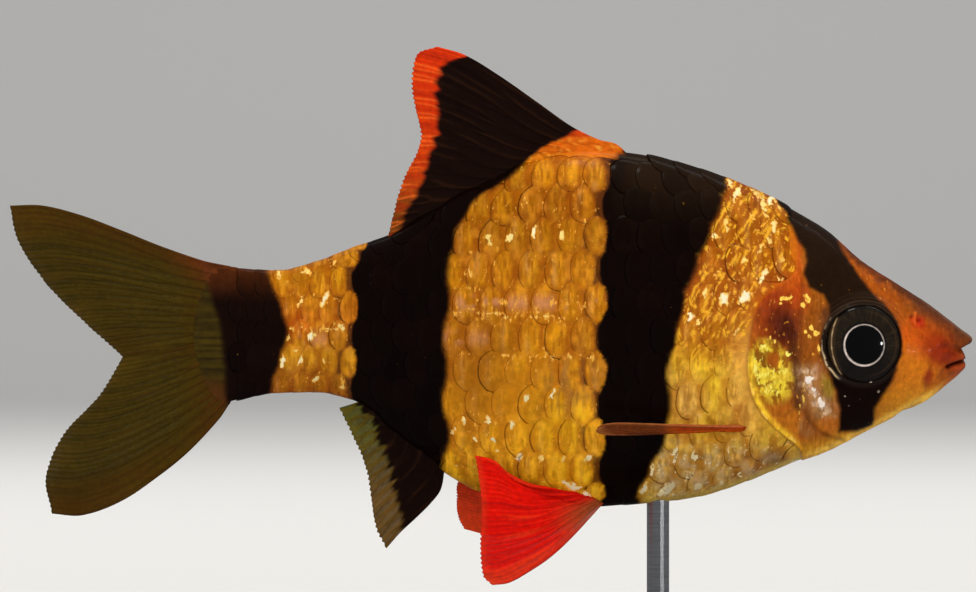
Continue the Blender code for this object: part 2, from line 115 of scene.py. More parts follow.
# ---------------------------------------------------------------- curves
def monotone(xs, ys, x):
    """Smooth curve through a table that never overshoots it."""
    xs, ys = np.asarray(xs, float), np.asarray(ys, float)
    d = np.diff(ys) / np.diff(xs)
    m = np.zeros(len(xs))
    h = np.diff(xs)
    for i in range(1, len(xs) - 1):
        if d[i - 1] * d[i] > 0:
            a, b = 2 * h[i] + h[i - 1], h[i] + 2 * h[i - 1]
            m[i] = (a + b) / (a / d[i - 1] + b / d[i])
    m[0], m[-1] = d[0], d[-1]
    x = np.clip(x, xs[0], xs[-1])
    i = np.clip(np.searchsorted(xs, x, side="right") - 1, 0, len(h) - 1)
    t = (x - xs[i]) / h[i]
    return (
        (1 + 2 * t) * (1 - t) ** 2 * ys[i]
        + t * (1 - t) ** 2 * h[i] * m[i]
        + t * t * (3 - 2 * t) * ys[i + 1]
        + t * t * (t - 1) * h[i] * m[i + 1]
    )


def through(points, t):
    """Point at t (0 to 1, by chord length) of a smooth curve through points."""
    p = np.asarray(points, float)
    c = np.concatenate([[0], np.cumsum(np.linalg.norm(np.diff(p, axis=0), axis=1))])
    c /= c[-1]
    m = np.empty_like(p)
    m[1:-1] = (p[2:] - p[:-2]) / (c[2:] - c[:-2])[:, None]
    m[0] = (p[1] - p[0]) / (c[1] - c[0])
    m[-1] = (p[-1] - p[-2]) / (c[-1] - c[-2])
    t = np.atleast_1d(np.clip(t, 0, 1))
    i = np.clip(np.searchsorted(c, t, side="right") - 1, 0, len(p) - 2)
    w = (c[i + 1] - c[i])[:, None]
    q = ((t - c[i])[:, None]) / w
    return (
        (1 + 2 * q) * (1 - q) ** 2 * p[i]
        + q * (1 - q) ** 2 * w * m[i]
        + q * q * (3 - 2 * q) * p[i + 1]
        + q * q * (q - 1) * w * m[i + 1]
    )


H, K = np.array(HULL), np.array(KEEL)


def back(s):
    return monotone(H[:, 0], H[:, 1], s)


def belly(s):
    return monotone(H[:, 0], H[:, 2], s)


def half_width(s):
    return monotone(H[:, 0], H[:, 3], s)


def swing(s):
    t = np.clip((np.asarray(s, float) - SWING_START_S) / (TAIL_TIP_S - SWING_START_S), 0, None)
    return TAIL_SWING * t * t


def hull_point(s, a, grow=0.0):
    """Outline of the flesh at distance s and angle a (0 left, pi/2 back), as X, Y, Z in mm."""
    top, low, w = back(s) + grow, belly(s) - grow, half_width(s) + grow
    k = np.where(np.sin(a) > 0, monotone(K[:, 0], K[:, 1], s), monotone(K[:, 0], K[:, 2], s))
    mid, half = (top + low) / 2, (top - low) / 2
    y = w * np.sign(np.cos(a)) * np.abs(np.cos(a)) ** (2 * k)
    return np.stack([SNOUT_X - s, y + swing(s), AXIS_Z + mid + half * np.sin(a)], -1)


def skin_y(s, h, grow=0.0):
    """Half width of the fish at distance s and height h above the axis."""
    top, low, w = back(s) + grow, belly(s) - grow, half_width(s) + grow
    q = np.clip((h - (top + low) / 2) / ((top - low) / 2), -1, 1)
    k = np.where(q > 0, monotone(K[:, 0], K[:, 1], s), monotone(K[:, 0], K[:, 2], s))
    return w * (1 - q * q) ** k


# ---------------------------------------------------------------- small tools for fields
def smooth(a, b, x):
    """0 below a, 1 above b, and smooth between (a may be above b)."""
    t = np.clip((x - a) / (b - a), 0, 1)
    return t * t * (3 - 2 * t)


def bell(x, width):
    return np.exp(-((x / width) ** 2))


def lattice(ix, iy, iz, seed):
    """Repeatable values from 0 to 1 at whole-numbered points."""
    n = (ix * 374761393 + iy * 668265263 + iz * 2147483647 + seed * 1274126177) & 0xFFFFFFFF
    n = ((n ^ (n >> 13)) * 1274126177) & 0xFFFFFFFF
    n = (n ^ (n >> 16)) & 0xFFFFFFFF
    return n / 4294967295.0


def noise(x, y, z, seed=0):
    """Smooth noise from -1 to 1."""
    x, y, z = np.broadcast_arrays(np.asarray(x, float), y, z)
    fx, fy, fz = np.floor(x), np.floor(y), np.floor(z)
    ix, iy, iz = (f.astype(np.int64) + 4096 for f in (fx, fy, fz))
    u, v, w = x - fx, y - fy, z - fz
    u, v, w = (t * t * (3 - 2 * t) for t in (u, v, w))
    out = 0.0
    for dx in (0, 1):
        for dy in (0, 1):
            for dz in (0, 1):
                out = out + (
                    lattice(ix + dx, iy + dy, iz + dz, seed)
                    * (u if dx else 1 - u) * (v if dy else 1 - v) * (w if dz else 1 - w)
                )
    return out * 2 - 1


def cloud(x, y, z, seed=0, octaves=3):
    """Noise with finer noise added, about -1 to 1."""
    total, share = 0.0, 1.0
    for i in range(octaves):
        f = 2.03 ** i
        total = total + noise(x * f, y * f, z * f, seed + 17 * i) * share
        share *= 0.5
    return total / 1.6


def along(points, x, y):
    """Distance from points (x, y) to an open line, and how far along it (0 to 1) the nearest place is."""
    p = np.asarray(points, float)
    best, where = np.full(np.shape(x), 1e9), np.zeros(np.shape(x))
    seg = np.linalg.norm(np.diff(p, axis=0), axis=1)
    start = np.concatenate([[0], np.cumsum(seg)])
    for i in range(len(p) - 1):
        (ax, ay), (bx, by) = p[i], p[i + 1]
        dx, dy = bx - ax, by - ay
        t = np.clip(((x - ax) * dx + (y - ay) * dy) / (dx * dx + dy * dy), 0, 1)
        d = np.hypot(x - ax - t * dx, y - ay - t * dy)
        near = d < best
        best = np.where(near, d, best)
        where = np.where(near, (start[i] + t * seg[i]) / start[-1], where)
    return best, where


def inside(points, x, y):
    """Signed distance to a closed outline, negative inside."""
    p = np.asarray(points, float)
    q = np.roll(p, -1, axis=0)
    d, _ = along(list(p) + [p[0]], x, y)
    odd = np.zeros(np.shape(x), bool)
    for (ax, ay), (bx, by) in zip(p, q):
        if ay == by:
            continue
        cross = ((ay > y) != (by > y)) & (x < (bx - ax) * (y - ay) / (by - ay) + ax)
        odd ^= cross
    return np.where(odd, -d, d)


def curve(*points, n=24):
    """A smooth line through points of the side view, in its own grid."""
    return through(points, np.linspace(0, 1, n))


def tone(r, g, b):
    """A colour given as it looks (0 to 255), as the shader's own values."""
    c = np.array([r, g, b], float) / 255
    return np.where(c <= 0.04045, c / 12.92, ((c + 0.055) / 1.055) ** 2.4)


def lay(base, colour, mask):
    """Colour laid over a field of colours where mask is 1."""
    return base + (np.asarray(colour) - base) * np.clip(mask, 0, 1)[..., None]


def spot(x, y, cx, cy, rx, ry, soft=0.4, turn=0.0):
    """A soft-edged oval in the side view."""
    c, s = math.cos(math.radians(turn)), math.sin(math.radians(turn))
    dx, dy = (x - cx) * c + (y - cy) * s, -(x - cx) * s + (y - cy) * c
    return smooth(1 + soft, 1 - soft, np.hypot(dx / rx, dy / ry))


# ---------------------------------------------------------------- markings
# All in the side view's own grid: x runs forwards, y runs down.
def grid_of(s, h):
    return 972.0 - s / 0.067, 330.0 - h / 0.067


HEAD_BAND = [
    (765, 172), (781, 211), (793, 235), (803, 250), (804, 264), (800, 275), (806, 286), (820, 294), (828, 306),
    (824, 340), (826, 375), (834, 390), (838, 410), (838, 431), (855, 431), (872, 424), (873, 406), (880, 395),
    (889, 380), (899, 352), (895, 322), (875, 299), (862, 285), (852, 272), (845, 258), (836, 241), (826, 220), (800, 172),
]
SHOULDER_FRONT = [(150, 716), (175, 722), (184, 723), (222, 710), (263, 693), (299, 680), (337, 675), (362, 670),
                  (401, 666), (439, 664), (472, 648), (498, 637), (530, 634)]
SHOULDER_REAR = [(130, 628), (148, 624), (163, 612), (190, 610), (222, 606), (240, 601), (290, 603), (330, 598),
                 (385, 600), (430, 596), (460, 603), (507, 599), (530, 598)]
FIN_BAND_FRONT = [(110, 604), (126, 590), (134, 570), (147, 546), (162, 526), (175, 513), (185, 500), (195, 485), (215, 466),
                  (228, 458), (250, 454), (280, 452), (310, 448), (370, 445), (440, 447), (470, 446), (540, 446)]
FIN_BAND_REAR = [(200, 392), (232, 386), (243, 371), (267, 358), (295, 355), (323, 357), (353, 355), (369, 351),
                 (397, 357), (420, 362), (470, 392), (540, 392)]
TAIL_BAND_REAR = [(240, 196), (268, 203), (292, 209), (310, 214), (330, 220), (359, 224), (397, 226), (430, 228)]
TAIL_BAND_FRONT = [(240, 254), (268, 262), (285, 270), (302, 280), (333, 286), (359, 279), (384, 273), (397, 266), (430, 262)]

GILL_EDGE = through([(800, 180), (797, 225), (793, 272), (777, 285), (759, 300), (749, 325), (744.5, 362), (747, 388),
                     (756, 408), (769, 424), (786, 438), (800, 452), (806, 500)], np.linspace(0, 1, 70))
GILL_FREE = through([(800, 276), (793, 272), (777, 285), (759, 300), (749, 325), (744.5, 362), (747, 388),
                     (756, 408), (769, 424), (786, 438), (800, 452), (812, 462)], np.linspace(0, 1, 60))
PREOPERCLE = through([(800, 286), (797, 320), (796, 360), (798, 398), (806, 420), (822, 434), (842, 440)],
                     np.linspace(0, 1, 30))


def edge_at(table, y):
    t = np.array(table, float)
    return monotone(t[:, 0], t[:, 1], y)


def behind_gill(x, y):
    """How far (x, y) lies behind the edge of the gill opening, in grid units."""
    e = GILL_EDGE
    return np.interp(y, e[:, 1], e[:, 0]) - x


def wobble(x, y, size, reach, seed):
    return (x + reach * cloud(x / size, y / size, 0.0, seed), y + reach * cloud(x / size, y / size, 7.3, seed + 5))


def dark_bands(x, y, soft=4.0):
    """The dark bands of the flank as one mask, and the band on the head as another."""
    wx, wy = wobble(x, y, 16.0, 2.6, 3)
    head = smooth(soft * 0.9, -soft * 0.6, inside(HEAD_BAND, wx, wy))
    flank = np.zeros(np.shape(x))
    for front, rear in ((SHOULDER_FRONT, SHOULDER_REAR), (FIN_BAND_FRONT, FIN_BAND_REAR), (TAIL_BAND_FRONT, TAIL_BAND_REAR)):
        f, r = edge_at(front, wy), edge_at(rear, wy)
        flank = np.maximum(flank, smooth(-soft, soft, np.minimum(f - wx, wx - r)))
    return flank, head


def band_tone(x, y):
    """Colour of the dark bands, browner over the back, a painted sheen there, and browner on the tail."""
    c = np.broadcast_to(tone(20, 6, 2), (*np.shape(x), 3)).copy()
    # painted sheen: the bands are drawn browner towards the back
    up = smooth(240, 165, y) * smooth(600, 640, x)
    c = lay(c, tone(44, 27, 11), up)
    tail = smooth(300, 280, x)
    c = lay(c, tone(28, 11, 5), tail)
    c = lay(c, tone(92, 44, 16), tail * smooth(305, 272, y) * 0.9)
    return lay(c, tone(30, 12, 4), 0.35 * smooth(0.1, 0.6, cloud(x / 20, y / 20, 3.1, 11)))


def gold_tone(x, y):
    """Colour of the flank between the bands."""
    mid = np.stack([np.interp(y, [130, 170, 230, 300, 350, 420, 480, 520],
                              [c[i] for c in map(lambda t: tone(*t), (
                                  (214, 110, 12), (186, 110, 9), (190, 117, 9), (217, 136, 15),
                                  (214, 134, 22), (246, 160, 34), (255, 188, 46), (250, 178, 54)))])
                    for i in range(3)], -1)
    front = np.stack([np.interp(y, [180, 220, 290, 340, 380, 430, 465, 500],
                                [c[i] for c in map(lambda t: tone(*t), (
                                    (180, 96, 7), (186, 108, 9), (188, 102, 9), (208, 130, 26),
                                    (255, 206, 76), (255, 206, 92), (218, 174, 94), (222, 190, 122)))])
                      for i in range(3)], -1)
    stem = np.stack([np.interp(y, [255, 280, 320, 355, 385, 400],
                               [c[i] for c in map(lambda t: tone(*t), (
                                   (196, 120, 20), (214, 138, 24), (206, 118, 28), (214, 142, 30),
                                   (190, 112, 16), (176, 92, 12)))])
                     for i in range(3)], -1)
    c = lay(mid, front, smooth(630, 660, x))
    c = lay(c, stem, smooth(400, 370, x))
    # redder under the front of the back fin and along the upper rim of the gill opening
    c = lay(c, tone(206, 84, 14), 0.75 * smooth(172, 140, y) * smooth(450, 500, x) * smooth(660, 620, x))
    c = lay(c, tone(240, 156, 24), 0.60 * spot(x, y, 556, 171, 46, 13, 0.7))
    # a brighter slanting strip half-way down, browner behind it
    fold, _ = along([(584, 296), (560, 326), (532, 352), (506, 378)], x, y)
    c = lay(c, tone(146, 90, 12), 0.42 * spot(x, y, 474, 366, 34, 58, 0.8))
    c = lay(c, tone(240, 158, 24), 0.50 * bell(fold, 13) * smooth(296, 312, y) * smooth(386, 366, y))
    c = lay(c, tone(255, 192, 34), 0.60 * spot(x, y, 556, 418, 32, 26, 0.7))
    c = lay(c, tone(212, 92, 8), 0.60 * spot(x, y, 299, 324, 11, 13, 0.7))
    c = lay(c, tone(232, 140, 24), 0.50 * spot(x, y, 326, 322, 20, 6, 0.7))
    arc, _ = along([(752, 312), (760, 298), (776, 284), (792, 274), (798, 262), (797, 240)], x, y)
    c = lay(c, tone(190, 84, 14), 0.6 * bell(arc, 11))
    # silvery flecks low on the chest and over the pelvic fins
    veil = spot(x, y, 742, 385, 20, 58, 0.6)
    c = lay(c, tone(224, 176, 104), 0.50 * veil)
    c = lay(c, tone(222, 174, 104), 0.65 * spot(x, y, 684, 400, 18, 26, 0.6))
    c = lay(c, tone(190, 92, 20), 0.60 * spot(x, y, 680, 436, 14, 7, 0.7))
    c = lay(c, tone(236, 156, 20), 0.60 * spot(x, y, 712, 438, 18, 7, 0.7))
    chest = smooth(432, 458, y + 0.06 * (700 - x)) * smooth(630, 660, x)
    c = lay(c, tone(222, 206, 170), 0.55 * chest * smooth(0.0, 0.55, cloud(x / 9, y / 6, 1.0, 23)))
    c = lay(c, tone(150, 112, 62), 0.5 * chest * smooth(0.05, 0.6, cloud(x / 12, y / 8, 4.0, 29)))
    c = lay(c, tone(178, 92, 14), 0.28 * smooth(-0.1, 0.6, cloud(x / 34, y / 34, 2.0, 31)))
    # root of the tail fin, behind the last band
    root = smooth(22, 12, x + 2.5 * noise(y / 5.0, 0.0, 0.0, 33) - edge_at(TAIL_BAND_REAR, y))
    streak = 0.5 + 0.5 * noise(y / 2.6, x / 30.0, 0.0, 34)
    brown = lay(np.broadcast_to(tone(66, 52, 4), (*np.shape(x), 3)), tone(40, 28, 3), streak)
    brown = lay(brown, tone(84, 40, 8), 0.6 * np.maximum(smooth(292, 272, y), smooth(372, 392, y)))
    return lay(c, brown, root)


def head_tone(x, y):
    """Colour of the head in front of the gill opening, with how metallic and how rough it is."""
    wx, wy = wobble(x, y, 9.0, 1.8, 41)
    fx, fy = wobble(x, y, 3.4, 1.3, 43)
    streak = noise(x / 1.8, y / 8.0, 0.0, 44) + 0.5 * noise(x / 0.9, y / 4.0, 2.0, 46)
    mottle = cloud(x / 6.0, y / 7.5, 0.0, 45)
    under_top = (back(np.clip((972.0 - x) * 0.067, 0, 50)) - (330.0 - y) * 0.067) / 0.067
    c = np.broadcast_to(tone(170, 92, 14), (*np.shape(x), 3)).copy()
    # snout and the side of the face in front of the eye
    c = lay(c, tone(196, 110, 14), smooth(880, 905, wx) * smooth(322, 352, wy))
    c = lay(c, tone(200, 124, 18), smooth(372, 404, wy) * smooth(860, 882, wx))
    c = lay(c, tone(182, 108, 22), smooth(396, 424, wy) * smooth(850, 870, wx))
    # forehead, dark along its ridge
    fore = smooth(326, 296, wy + 0.42 * (wx - 900)) * smooth(832, 846, wx)
    c = lay(c, tone(146, 68, 12), fore)
    c = lay(c, tone(186, 92, 16), 0.75 * fore * smooth(0.0, 0.55, mottle + 0.3 * streak))
    rim, _ = along([(845, 254), (857, 272), (875, 293), (893, 309), (903, 330)], wx, wy)
    c = lay(c, tone(192, 92, 14), 0.60 * bell(rim, 9))
    c = lay(c, tone(74, 36, 14), 0.90 * smooth(13, 3, under_top + 3.5 * mottle) * smooth(832, 850, wx) * smooth(935, 915, wx))
    c = lay(c, tone(84, 42, 24), 0.90 * smooth(34, 12, under_top + 5.0 * mottle + 3.0 * streak) * smooth(896, 925, wx))
    # painted highlight: a lighter greyish line along the top edge of the snout
    c = lay(c, tone(134, 98, 78), 0.60 * smooth(5, 0.5, under_top) * smooth(905, 940, wx))
    # red round the nostril and the mouth
    c = lay(c, tone(196, 78, 10), 0.75 * spot(wx, wy, 915, 336, 24, 18, 0.7, 20))
    c = lay(c, tone(142, 38, 6), 0.85 * spot(wx, wy, 938, 348, 22, 15, 0.6, 32))
    c = lay(c, tone(128, 30, 6), 0.80 * spot(wx, wy, 953, 361, 17, 14, 0.6, 20))
    c = lay(c, tone(190, 40, 8), 0.90 * spot(fx, fy, 915.5, 322, 7.5, 5.5, 0.6, 25))
    c = lay(c, tone(132, 24, 6), 0.85 * spot(fx, fy, 926, 378, 5.0, 11, 0.6, 12))
    c = lay(c, tone(150, 40, 8), 0.7 * spot(fx, fy, 934, 352, 8, 13, 0.7, 10))
    c = lay(c, tone(158, 62, 10), 0.6 * spot(wx, wy, 944, 376, 16, 8, 0.7, -30))
    # strip along the throat
    strip, _ = along([(800, 454), (830, 446), (860, 434), (892, 418), (925, 397)], wx, wy)
    under_low = ((330.0 - y) * 0.067 - belly(np.clip((972.0 - x) * 0.067, 0, 50))) / 0.067
    yellow = bell(strip, 10) * smooth(940, 915, wx)
    c = lay(c, tone(216, 158, 36), 0.85 * yellow * (0.75 + 0.25 * smooth(-0.3, 0.4, mottle)))
    # painted light from below: a pale yellow rim along the lower edge of the head
    c = lay(c, tone(250, 200, 78), 0.80 * smooth(11, 4, under_low) * smooth(790, 812, x) * smooth(948, 925, x))
    # gill cover
    cover = smooth(803, 794, fx)
    c = lay(c, tone(176, 92, 14), cover)
    c = lay(c, tone(196, 112, 16), cover * smooth(385, 425, wy))
    c = lay(c, tone(178, 66, 8), 0.85 * cover * smooth(318, 296, wy))
    c = lay(c, tone(206, 96, 14), 0.6 * cover * smooth(298, 284, wy))
    c = lay(c, tone(186, 150, 96), 0.55 * spot(fx, fy, 805, 425, 8, 9, 0.6))
    brown, _ = along([(788, 332), (790, 350), (793, 378), (796, 404)], fx, fy)
    c = lay(c, tone(150, 48, 8), 0.80 * spot(fx, fy, 775, 320, 25, 28, 0.5))
    c = lay(c, tone(80, 38, 10), 0.92 * bell(brown, 7.2))
    c = lay(c, tone(98, 32, 5), 0.97 * spot(fx, fy, 778, 325, 16, 19, 0.45))
    c = lay(c, tone(60, 22, 6), 0.60 * spot(fx, fy, 783, 328, 9, 12, 0.6))
    patch = spot(fx, fy, 767, 371, 20, 30, 0.30, -18)
    c = lay(c, tone(178, 128, 20), 0.9 * patch)
    lumps = cloud(x / 4.6, y / 6.4, 0.0, 47)
    bright = patch * smooth(-0.04, 0.20, lumps + 0.35 * spot(x, y, 756, 366, 9, 15, 0.6) + 0.35 * spot(x, y, 776, 386, 9, 11, 0.6)
                            - 0.5 * spot(x, y, 770, 359, 6.5, 8, 0.4))
    c = lay(c, tone(234, 206, 52), 0.9 * bright)
    c = lay(c, tone(186, 92, 16), 0.85 * spot(fx, fy, 770, 359, 6, 8, 0.4))
    c = lay(c, tone(120, 62, 10), 0.55 * patch * smooth(-0.15, -0.5, lumps))
    rimline, at = along(GILL_FREE, x - 3.0, y)
    c = lay(c, tone(255, 208, 48), 0.95 * bell(rimline - 0.6, 3.4) * smooth(0.42, 0.56, at) * smooth(0.95, 0.85, at)
            * (0.65 + 0.35 * smooth(-0.3, 0.3, noise(y / 4.0, 0.0, 0.0, 48))))
    # cheek between the eye and the gill cover
    cheek = smooth(795, 803, fx) * smooth(832, 822, fx) * smooth(292, 304, fy) * smooth(440, 425, fy)
    c = lay(c, tone(156, 82, 14), 0.85 * cheek)
    c = lay(c, tone(88, 44, 12), 0.8 * smooth(812, 824, fx) * smooth(840, 830, fx) * smooth(300, 312, fy) * smooth(372, 352, fy))
    c = lay(c, tone(196, 70, 10), 0.6 * spot(fx, fy, 798, 296, 9, 14, 0.6))
    band, _ = along([(802, 366), (806, 382), (813, 396), (822, 414)], fx, fy)
    silver = bell(band, 10.5) * smooth(358, 370, fy) * smooth(424, 414, fy)
    c = lay(c, tone(184, 138, 84), 0.85 * silver)
    pale = silver * smooth(-0.20, 0.20, cloud(x / 4.0, y / 6.5, 0.0, 53) - 0.02 * band)
    c = lay(c, tone(222, 186, 150), 0.80 * pale)
    c = lay(c, tone(150, 134, 34), 0.65 * spot(fx, fy, 824, 386, 6, 12, 0.6, -20))
    c = lay(c, tone(214, 124, 30), 0.6 * spot(fx, fy, 826, 424, 12, 8, 0.6))
    # fine light and dark streaks over everything
    sides = 0.35 + 0.65 * smooth(850, 830, x)
    c = lay(c, c * np.array([0.66, 0.54, 0.46]), 0.55 * smooth(0.05, 0.8, -streak) * sides)
    c = lay(c, c * 1.35 + 0.008, 0.50 * smooth(0.05, 0.8, streak) * sides)
    speck = cloud(x / 2.4, y / 2.4, 0.0, 49)
    c = lay(c, c * np.array([0.72, 0.60, 0.52]), 0.5 * smooth(0.1, 0.7, speck) * smooth(835, 850, x))
    c = lay(c, c * 1.25, 0.4 * smooth(-0.1, -0.7, speck) * smooth(835, 850, x))
    c = lay(c, tone(168, 74, 10), 0.25 * smooth(-0.1, 0.5, cloud(x / 15, y / 15, 2.0, 59)))
    # all drawn a fifth darker except the bright patch, the pale cheek, the face, the throat strip, the painted light
    # along the lower edge and the gill rim
    face = smooth(884, 900, x) * smooth(948, 925, x) * smooth(318, 340, y)
    c = c * lay(np.full((*np.shape(x), 3), 0.80), 1.0, np.maximum.reduce([bright, 0.6 * pale, 0.95 * face, 0.9 * yellow, smooth(12, 5, under_low),
                                                           bell(rimline, 4.0) * smooth(380, 395, y)]))
    metal = 0.08 + 0.06 * patch + 0.06 * silver
    rough = 0.46 - 0.10 * bright - 0.08 * pale
    return c, np.clip(metal, 0, 0.85), rough


def head_gleam(x, y):
    """How closely the painted glints, bright highlight spots, stand on the head, and their colour."""
    f = 0.34 + 0.0 * x
    colour = np.broadcast_to(tone(236, 156, 48), (*np.shape(x), 3)).copy()
    f = np.maximum(f, 0.38 * smooth(835, 820, x) * smooth(286, 300, y) * smooth(430, 400, y))
    f = f - 0.10 * smooth(905, 925, x) - 0.06 * smooth(300, 280, y)
    f = np.where((x > 840) & (x < 905) & (y < 312), 0.38, f)
    patch = spot(x, y, 767, 371, 20, 30, 0.25, -18) * (1 - 0.7 * spot(x, y, 770, 359, 7, 8, 0.4))
    f = np.maximum(f, 0.52 * patch)
    colour = lay(colour, tone(255, 236, 96), patch)
    silver, _ = along([(802, 366), (806, 382), (813, 396), (822, 414)], x, y)
    silver = bell(silver, 9.0) * smooth(358, 370, y) * smooth(424, 414, y)
    f = np.maximum(f, 0.50 * silver)
    colour = lay(colour, tone(240, 212, 188), silver)
    # painted glints at these places; kind 3 are pale dots below the eye, not glints
    for mx, my, tall, wide, turned_by, much, kind in (
        (782, 298, 2.6, 7.5, -6, 0.78, 0), (777, 303, 1.6, 5, 0, 0.66, 0), (804, 299, 6.0, 3.2, -24, 0.74, 0), (800, 305, 4.0, 2.2, 0, 0.66, 0),
        (808, 328, 3.6, 2.4, -20, 0.80, 0), (812, 333, 3.2, 3.0, 30, 0.80, 0), (806, 336, 2.6, 2.2, 0, 0.72, 0),
        (802, 331, 2.2, 1.6, 0, 0.74, 0), (801, 317, 5.0, 1.4, 0, 0.66, 0), (815, 349, 5.5, 1.8, 0, 0.64, 0),
        (800.5, 392, 16, 1.5, 0, 0.70, 0), (797, 410, 8, 1.4, 0, 0.64, 0), (752, 366, 4, 2.4, 0, 0.74, 1), (749, 388, 9, 2.0, -14, 0.72, 0),
        (762, 416, 9, 2.0, -40, 0.74, 0), (790, 438, 5, 1.8, -50, 0.76, 0), (806, 379, 5, 4.4, -20, 0.80, 2), (818, 402, 5, 4.2, -20, 0.78, 2),
        (811, 388, 3, 3, 0, 0.74, 2), (867, 380, 3.0, 3.4, 0, 0.66, 3), (867, 373, 5.0, 1.6, 0, 0.60, 3), (875.5, 391, 1.5, 1.9, -30, 0.78, 3),
        (880, 387, 1.6, 2.6, -60, 0.66, 3), (842, 395.5, 1.2, 1.4, 0, 0.74, 3), (846, 405, 1.0, 1.2, 0, 0.70, 3), (857, 399, 1.0, 1.2, 0, 0.64, 3),
        (735, 297, 4, 3, -20, 0.60, 0), (784, 352, 5, 3.4, 10, 0.62, 1), (766, 338, 3, 2.6, 0, 0.64, 0),
        (771, 341, 2.4, 2.2, 0, 0.64, 0), (760, 345, 2.6, 3.0, 0, 0.66, 1),
    ):
        d = spot(x, y, mx, my, wide, tall, 0.5, turned_by)
        ragged = 0.10 * smooth(-0.3, 0.5, noise(x / 1.5, y / 1.9, 2.0, 64))
        f = np.maximum(f, 0.30 + (much - 0.30 - ragged - (0.06 if kind == 2 else 0.0)) * d)
        tint_of = (tone(255, 206, 84), tone(255, 238, 110), tone(255, 240, 226), tone(196, 178, 160))[kind]
        colour = np.where((d > 0.05)[..., None], tint_of, colour)
    return f, colour


def outside_eye(x, y):
    """Dark skin and pale beads just outside the eye, as (dark, beads)."""
    cx, cy = grid_of(EYE_S, EYE_H)
    r = np.hypot(x - cx, y - cy) * 0.067
    a = np.degrees(np.arctan2(cy - y, x - cx)) % 360
    ahead = smooth(70, 20, np.minimum(a, 360 - a))
    ring = smooth(3.05 - 0.36 * ahead, 2.78 - 0.24 * ahead, r)
    behind = smooth(128, 150, a) * smooth(238, 226, a)
    low = smooth(176, 205, a)
    bead = smooth(0.15 - 0.5 * low, 0.55 - 0.4 * low, noise(a / 4.6, r * 3.0, 0.0, 62) + 0.25)
    wide = 0.030 + 0.028 * low
    return ring, behind * bell(r - 2.80 - 0.04 * noise(a / 11.0, 0.0, 0.0, 63), wide) * bead * (0.40 + 0.50 * low)


# ---------------------------------------------------------------- meshes
def build(name, verts, quads, tris=None, tint=None, metal=None, rough=None, cover=None,
          skin=None, uv=None, uv_name="OFBake", glint_share=None, gleam=None):
    """A mesh piece from arrays, in mm, with its colours and finish as point attributes."""
    verts = np.asarray(verts, float)
    quads = np.asarray(quads, np.int64).reshape(-1, 4)
    tris = np.zeros((0, 3), np.int64) if tris is None else np.asarray(tris, np.int64).reshape(-1, 3)
    a, b, c, d = (verts[quads[:, i]] for i in range(4))
    volume = np.einsum("ij,ij->i", a, np.cross(b, c)).sum() + np.einsum("ij,ij->i", a, np.cross(c, d)).sum()
    if len(tris):
        volume += np.einsum("ij,ij->i", verts[tris[:, 0]], np.cross(verts[tris[:, 1]], verts[tris[:, 2]])).sum()
    flip = volume < 0
    if flip:
        quads, tris = quads[:, ::-1], tris[:, ::-1]
    mesh = bpy.data.meshes.new(name)
    mesh.vertices.add(len(verts))
    mesh.vertices.foreach_set("co", (verts * MM).astype(np.float32).ravel())
    loops = np.concatenate([quads.ravel(), tris.ravel()]).astype(np.int32)
    mesh.loops.add(len(loops))
    mesh.loops.foreach_set("vertex_index", loops)
    starts = np.concatenate([np.arange(len(quads)) * 4, len(quads) * 4 + np.arange(len(tris)) * 3]).astype(np.int32)
    mesh.polygons.add(len(starts))
    mesh.polygons.foreach_set("loop_start", starts)
    mesh.update(calc_edges=True)
    mesh.shade_smooth()
    if tint is not None:
        at = mesh.color_attributes.new("tint", "FLOAT_COLOR", "POINT")
        at.data.foreach_set("color", np.concatenate([tint, np.ones((len(verts), 1))], 1).astype(np.float32).ravel())
    if gleam is not None:
        at = mesh.color_attributes.new("gleam", "FLOAT_COLOR", "POINT")
        at.data.foreach_set("color", np.concatenate([gleam, np.ones((len(verts), 1))], 1).astype(np.float32).ravel())
    for label, values in (("metal", metal), ("rough", rough), ("cover", cover), ("glint_share", glint_share)):
        if values is not None:
            at = mesh.attributes.new(label, "FLOAT", "POINT")
            at.data.foreach_set("value", np.broadcast_to(values, len(verts)).astype(np.float32).copy())
    if uv is not None:
        layer = mesh.uv_layers.new(name=uv_name)
        layer.data.foreach_set("uv", np.asarray(uv)[loops].astype(np.float32).ravel())
    if mesh.validate(verbose=False):
        print("mesh repaired:", name)
    ob = bpy.data.objects.new(name, mesh)
    scene.collection.objects.link(ob)
    if skin is not None:
        mesh.materials.append(skin)
    return ob


def node(tree, kind, **values):
    n = tree.nodes.new(kind)
    for key, value in values.items():
        setattr(n, key, value)
    return n


def attribute(tree, label):
    return node(tree, "ShaderNodeAttribute", attribute_name=label)


